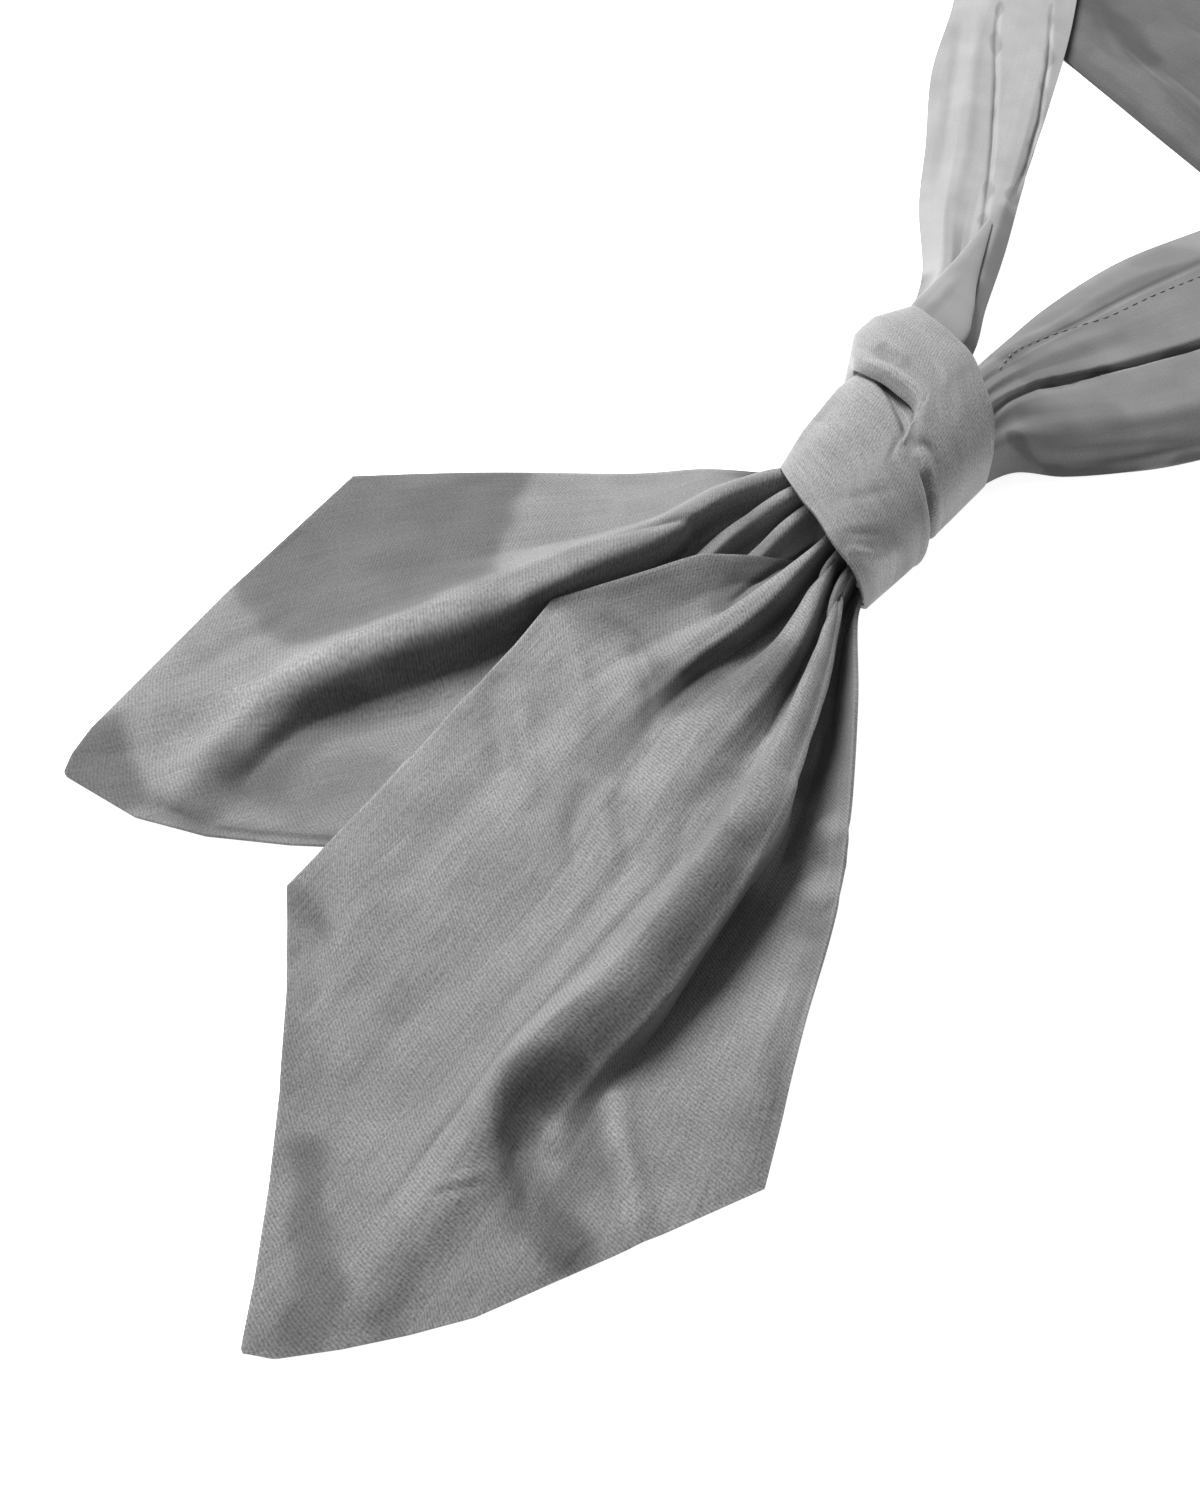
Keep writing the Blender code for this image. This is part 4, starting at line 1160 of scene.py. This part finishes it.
LEFT_LEANS = {"seam": (0.0, 2.0, 0.0, 2.0), "layer": (0.0, 3.0, 0.35, 1.2)}
# Columns: depth, half width, sharpness, then the path in plan.
LEFT_CREASES = (
    (-1.0, 0.9, 2.0, ((-111, 189), (-101, 175), (-89, 160), (-68, 132), (-48, 103), (-42, 92))),
    (-0.8, 0.8, 2.0, ((-99, 200), (-83, 178), (-67, 153), (-57, 134), (-50, 118))),
    (0.5, 2.0, 1.0, ((-116, 186), (-94, 155), (-72, 124), (-58, 100))),
    (-0.5, 2.0, 1.0, ((-118, 180), (-100, 154), (-80, 125), (-64, 100))),
)
# Painted shadow under the flap's left edge, on the strand's right strip, which lies in shade, and along
# the creases.
# Columns: the path in plan, factor, width in millimetres.
LEFT_SHADES = (
    (((-26, 40), (-38, 54), (-46, 71)), 0.45, 3.2),
    (((-14, 40), (-17, 58), (-27, 78), (-38, 98), (-46, 112)), 0.55, 4.0),
    (((-111, 189), (-101, 175), (-89, 160), (-68, 132), (-48, 103)), 0.72, 0.7),
    (((-99, 200), (-83, 178), (-67, 153), (-57, 134), (-50, 118)), 0.72, 0.7),
)

# %% Right strand, its sections and folds
RIGHT_SECTIONS = {
    "knot": (-7.3, 27.1, 13, 18.5, 1.1, 0.90),
    "mouth": (-9, 51, 17, 35, 2.0, 0.60),
    "fan": (-13, 70, 25, 46, 3.0, 0.50),
    "spread": (-15, 88, 35, 60, 3.5, 0.45),
    "middle": (-13, 117, 47, 79, 4.0, 0.45),
    "frame": (-5, 147, 58, 105, 4.0, 0.40),
    "bend": (10, 190, 67, 121, 4.0, 0.40),
    "end": (27, 231, 74, 135, 4.0, 0.40),
}
RIGHT_FOLDS = {
    "top_edge": (0,
        (0, 12), (0, 14), (0, 8), (0, 5), (0, 4), (0, 3), (0, 2.4), (0, 2.2)),
    "seam_ridge": (0.2,
        (0.2, 22), (0.2, 20), (0.22, 14.5), (0.22, 11.5),
        (0.22, 9.6), (0.23, 7.6), (0.23, 5.8), (0.23, 4)),
    "lobe_dip": (0.32,
        (0.38, 21), (0.33, 19.5), (0.32, 14.4), (0.32, 11.4),
        (0.33, 9.6), (0.34, 7.6), (0.34, 5.8), (0.34, 4)),
    "upper_lobe": (0.46,
        (0.56, 21), (0.46, 18.5), (0.44, 13.8), (0.47, 10.8),
        (0.5, 9.2), (0.5, 7.5), (0.5, 5.8), (0.5, 4)),
    "long_valley": (0.55,
        (0.7, 16), (0.54, 17), (0.51, 12.4), (0.54, 9.6),
        (0.57, 8.2), (0.58, 6.6), (0.59, 5.2), (0.6, 3.6)),
    "lower_lobe": (0.78,
        (0.9, 16), (0.78, 15), (0.77, 11.8), (0.77, 9.4),
        (0.78, 8), (0.79, 6.8), (0.79, 5.4), (0.79, 3.6)),
    "bottom_edge": (1,
        (1, 7), (1, 6), (1, 2), (1, 0), (1, 0), (1, 1.2), (1, 2.2), (1, 2.2)),
}
RIGHT_LEANS = {
    "seam_ridge": (0.0, 5.0, 0.0, 2.0),
    "upper_lobe": (0.0, 3.0, 0.62, 0.7, 1.0),
    "long_valley": (0.25, 0.8, 0.0, 3.0, 1.0),
    "lower_lobe": (0.0, 6.0, 0.0, 6.0),
}
RIGHT_CREASES = (
    (-1.3, 0.8, 2.0, ((6.5, 34), (5.2, 44), (5.4, 57.1), (10.1, 70.6), (17.3, 86), (24.9, 104.8),
                      (34, 130), (44, 160))),
    (-0.35, 1.0, 2.0, ((-3.5, 48), (-4, 66), (-3.2, 78), (-1, 94), (2.2, 112), (5.4, 129), (11, 152))),
    (0.7, 2.2, 1.0, ((14, 38), (22, 50), (32, 66), (42, 82))),
    (-0.7, 1.2, 1.0, ((18, 40), (27, 53), (37, 69), (48, 86))),
    (-0.8, 3.0, 1.0, ((-9, 70), (-8, 82), (-6, 96))),
    (0.6, 3.0, 1.0, ((0, 62), (3, 78), (8, 94))),
    (-0.6, 2.4, 1.0, ((3, 52), (8, 62), (13, 76))),
)
# Painted shade on the upper lobe, which turns away from the lamp, and painted shadow along the long
# valley, the hem and the creases. Columns: the path in plan, factor, width in millimetres.
RIGHT_SHADES = (
    (((-11, 58), (-11, 78), (-8, 100), (-1, 130)), 0.66, 7.0),
    (((5.2, 44), (5.4, 57.1), (10.1, 70.6), (17.3, 86), (24.9, 104.8), (34, 130)), 0.60, 0.8),
    (((13, 37), (20, 42), (26.3, 47.6), (36, 60), (46, 77.6), (58, 102)), 0.62, 1.2),
    (((11, 46), (16, 54), (24, 66)), 0.78, 3.5),
    (((-2, 60), (-1, 72), (4, 92)), 0.88, 4.0),
)

# %% Neck's back, its sections and folds
NECK_SECTIONS = {
    "left_fold": (-133, 197, -110, 230, 2.0, 0.30),
    "under_left": (-84, 186, -74, 246, 2.0, 0.30),
    "middle": (-44, 177, -34, 249, 2.0, 0.30),
    "under_right": (-2, 167, -2, 245, 2.0, 0.30),
    "right_fold": (73, 136, 28, 230, 2.0, 0.30),
}
NECK_FOLDS = {
    "inner_edge": (0, (0, 0), (0, 0), (0, 0), (0, 0), (0, 0)),
    "inner_ridge": (0.2, (0.2, 0), (0.16, 0), (0.2, 3), (0.18, 0), (0.2, 0)),
    "inner_valley": (0.34, (0.34, 0), (0.3, 0), (0.33, 1), (0.32, 0), (0.34, 0)),
    "middle_ridge": (0.5, (0.5, 0), (0.46, 0), (0.5, 4), (0.5, 0), (0.5, 0)),
    "outer_valley": (0.7, (0.7, 0), (0.66, 0), (0.68, 0.8), (0.7, 0), (0.7, 0)),
    "outer_ridge": (0.84, (0.84, 0), (0.82, 0), (0.83, 2.4), (0.84, 0), (0.84, 0)),
    "outer_edge": (1, (1, 0), (1, 0), (1, 0), (1, 0), (1, 0)),
}

# %% Strands and the neck's back, their sheets
NECK_WIDTH = 76 * MM            # a guess at the strip's width at the neck, which scales the weave
NECK_CREASES = (
    (0.9, 2.0, 1.0, ((-92, 214), (-70, 200), (-46, 190), (-20, 182), (0, 176))),
    (-0.8, 3.0, 1.0, ((-88, 222), (-66, 209), (-42, 199), (-16, 192))),
    (0.8, 3.0, 1.0, ((-86, 234), (-62, 222), (-36, 212), (-10, 206))),
)
# Painted shade along the strands' edges and beside a crease, and a painted lighter band between them.
# Columns: the path in plan, factor, width in millimetres.
NECK_SHADES = (
    (((-90, 189), (-83, 186), (-67, 182), (-51, 178), (-22, 171)), 0.66, 3.0),
    (((-92, 214), (-78, 209), (-64, 202)), 0.58, 5.0),
    (((-86, 197), (-65, 191), (-26, 179)), 1.25, 3.0),
    (((-110, 200), (-98, 186), (-80, 168)), 0.6, 6.0),
)
LOOP_RAGGED = 1.5               # how ragged the borders of the shades are, in millimetres
# The tone column is painted light on the left strand, and painted shade on the right strand and on the
# neck's back.
# Columns: piece, its tables, how light it is as a whole, rows, columns, node, finish, seed.
LOOP = (
    ("strand_left_sheet", LEFT_SECTIONS, LEFT_FOLDS, LEFT_LEANS, LEFT_CREASES, LEFT_SHADES, 1.38,
     190, 150, "strand_left", "strand", 11),
    ("strand_right_sheet", RIGHT_SECTIONS, RIGHT_FOLDS, RIGHT_LEANS, RIGHT_CREASES, RIGHT_SHADES, 0.84,
     190, 170, "strand_right", "strand", 12),
    ("neck_back_sheet", NECK_SECTIONS, NECK_FOLDS, None, NECK_CREASES, NECK_SHADES, 0.45,
     190, 100, "neck_back", "neck", 13),
)
loop_grids = {}
for name, sections, folds, leans, creases, shades, tone, rows, columns, node, finish, seed in LOOP:
    grid, across = sheet_grid(sections, folds, rows, columns, None, leans)
    relax(grid, 2)
    for depth, width, sharp, path in creases:
        crease(grid, path, depth, width, sharp)
    ripple(grid, 18, 0.4, seed)
    keep_on_table(grid)
    loop_grids[name] = grid
    u, v = strip_map(grid, across, NECK_WIDTH)
    shade = tone * (1 + 0.08 * uneven(grid, 14, seed + 30) + 0.05 * uneven(grid, 5, seed + 40))
    for path, factor, width in shades:
        shade_along(shade, grid, path, factor, width, LOOP_RAGGED, seed)
    sheet = mesh_from_grid(name, grid, u, v, shade)
    dress(name, sheet, node, cloth[finish], WALL)

# %% [markdown]
# ## The turned flap of the left strand
#
# Just above the knot the left strand turns over: a long triangle of cloth comes out of the knot, lies
# on top and narrows to a point where the strand becomes a flat band. It is a sheet of its own, crowned
# a little, with its long edge on the strand below.

# %% Left strand, its turned flap
# Columns: share of the length, then x, y, z of the left edge and of the right edge.
FLAP_EDGES = (
    (0.00, -27.5, 39.0, 23.5, -11.5, 35.5, 23.0),
    (0.18, -31.5, 48.5, 22.0, -14.8, 50.0, 19.5),
    (0.45, -36.5, 64.0, 16.3, -22.0, 63.5, 15.6),
    (0.72, -41.5, 82.0, 11.2, -32.5, 79.5, 11.2),
    (1.00, -47.5, 104.5, 7.6, -46.0, 103.5, 7.6),
)
FLAP_CROWN = 1.4            # how far its middle swells, in millimetres
FLAP_WALL = 0.8 * MM
FLAP_CUT = 0.35             # its width as a share of the strip's, which scales the weave
places = np.linspace(0.0, 1.0, 110)
edges = curve_through([row[0] for row in FLAP_EDGES], [row[1:] for row in FLAP_EDGES], places)
across = np.linspace(0.0, 1.0, 40)
flap = edges[:, None, 0:3] + across[None, :, None] * (edges[:, None, 3:6] - edges[:, None, 0:3])
bulge = FLAP_CROWN * np.sqrt(np.clip(4 * across * (1 - across), 0, 1))
flap[:, :, 2] += bulge[None, :] * np.interp(places, (0.0, 0.5, 1.0), (1.0, 0.8, 0.1))[:, None]
flap = flap * MM + KNOT_AT
crease(flap, ((-26, 44), (-30, 58), (-36, 76)), 0.5, 1.6)
ripple(flap, 12, 0.3, 14)
flap_u, flap_v = strip_map(flap, across, FLAP_CUT * NECK_WIDTH)
flap_shade = 1.0 + 0.07 * uneven(flap, 10, 51)
# Painted highlight along the flap's folded left edge.
shade_along(flap_shade, flap, [row[1:3] for row in FLAP_EDGES], 1.16, 1.6)
flap_mesh = mesh_from_grid("strand_left_flap", flap, flap_u, flap_v, flap_shade)
dress("strand_left_flap", flap_mesh, "strand_left", cloth["strand"], FLAP_WALL)

# %% [markdown]
# ## The topstitched seam
#
# The long edge of the neck strip is topstitched, and one such row shows on the right strand. At the scale
# taken here the stitches are about 2 mm long and 3.4 mm apart. Each one is a small oval bead of thread,
# half sunk in the cloth and turned along the seam. Their thread is a finer, tighter twist than the
# cloth, so it has a material of its own.

# %% Sewing thread
TWIST_PITCH = 0.35 * MM
thread = bpy.data.materials.new("twisted_cotton_thread")
thread.use_nodes = True
thread_tree = thread.node_tree
thread_at = add_node(thread_tree, "ShaderNodeTexCoord").outputs["Object"]
twist = add_node(thread_tree, "ShaderNodeTexNoise", {"Scale": 1 / TWIST_PITCH, "Detail": 2.0},
                 {"Vector": thread_at})
thread_colour = add_node(thread_tree, "ShaderNodeMix",
                         {"data_type": "RGBA", 6: linear("#444444"), 7: linear("#707070")},
                         {0: twist.outputs[0]})
thread_shader = thread_tree.nodes["Principled BSDF"]
set_inputs(thread_shader, {"Roughness": 0.6})
thread_tree.links.new(thread_colour.outputs[2], thread_shader.inputs["Base Color"])

# %% The row of stitches
STITCH_PITCH = 3.4 * MM
STITCH_SIZE = (2.1 * MM, 0.55 * MM, 0.4 * MM)   # long, wide, high
STITCH_PROUD = 0.05 * MM                        # how far a stitch's middle lies above the cloth
SEAM_PATH = ((-2.5, 50), (-5, 60), (-4.5, 73), (-2, 83), (1.6, 94), (5, 110), (8.8, 126), (14, 146),
             (21, 166))
right_grid = loop_grids["strand_right_sheet"]
right_up = outward(right_grid)
seam = np.array(SEAM_PATH) * MM + KNOT_AT[:2]
travelled = lengths_along(seam)
places = np.arange(0.0, travelled[-1], STITCH_PITCH)
seam = curve_through(travelled, seam, places)
headings = np.gradient(seam, axis=0)
bm = bmesh.new()
for (x, y), heading in zip(seam, headings):
    away = np.hypot(right_grid[:, :, 0] - x, right_grid[:, :, 1] - y)
    row, column = np.unravel_index(np.argmin(away), away.shape)
    up = Vector(right_up[row, column])
    along = Vector((*heading, 0.0))
    along = (along - along.dot(up) * up).normalized()
    side = up.cross(along)
    lift = (REST + STITCH_PROUD) * up
    turn = Matrix((along, side, up)).transposed().to_4x4()
    turn.translation = Vector((x, y, right_grid[row, column, 2])) + lift
    size = Matrix.Diagonal((*[0.5 * part for part in STITCH_SIZE], 1.0))
    bmesh.ops.create_uvsphere(bm, u_segments=8, v_segments=6, radius=1.0, matrix=turn @ size)
bmesh.ops.recalc_face_normals(bm, faces=bm.faces)
stitch_mesh = bpy.data.meshes.new("seam_stitches")
bm.to_mesh(stitch_mesh)
bm.free()
stitch_mesh.shade_smooth()
stitch_mesh.materials.append(thread)
stitches = add_object("seam_stitches", stitch_mesh)
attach(stitches, "root")
print("stitches:", len(places))

# %% [markdown]
# ## The cut of each sheet
#
# Cloth neither grows nor shrinks when it is folded, so each sheet's area is printed beside the flat cut
# of the part that shows. The areas of the two blades were worked out from the strip's width and its
# pointed end. The front blade has about 7% more cloth than that, which real cloth can't, so its cut is
# too small or its folds are too deep. The widths of the turns, the strands and the neck, and every
# length, were read off these sheets, so for those the printed pairs only show that the table agrees with
# the model.

# %% The cut of each sheet
# Columns: piece, width and length that show of its cut, its flat area where that is no rectangle, how it
# is held, and what it lies on.
SHEETS = (
    ("front_blade_sheet", 0.140, 0.234, 0.0221, "gathered", ["back_blade_sheet"]),
    ("back_blade_sheet", 0.140, 0.200, 0.0178, "gathered", []),
    ("knot_lower_turn", 0.032, 0.139, None, "folded", ["knot_inner_layers"]),
    ("knot_upper_turn", 0.030, 0.156, None, "folded", ["knot_inner_layers"]),
    ("strand_left_sheet", 0.034, 0.227, None, "folded", ["neck_back_sheet"]),
    ("strand_left_flap", 0.027, 0.079, 0.0009, "folded", ["strand_left_sheet"]),
    ("strand_right_sheet", 0.056, 0.213, None, "folded", ["neck_back_sheet"]),
    ("neck_back_sheet", 0.056, 0.216, None, "laid", []),
)
for name, width, length, flat_area, held, beneath in SHEETS:
    sheet = bpy.data.objects[name]
    area = sum(face.area for face in sheet.data.polygons)
    cut = flat_area or width * length
    print(name, "is", round(area * 1e4), "cm2 of cloth, cut from", round(cut * 1e4))

# %% [markdown]
# ## Last checks
#
# The dressed tie must keep the size of the solids, so the last cell prints how far its box differs from
# theirs.

# %% Sizes and finish
new_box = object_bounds()
grown = [abs(new - old) / MM for p, q in zip(cad_box, new_box) for old, new in zip(p, q)]
print("grown by, in mm:", [round(distance, 1) for distance in grown])
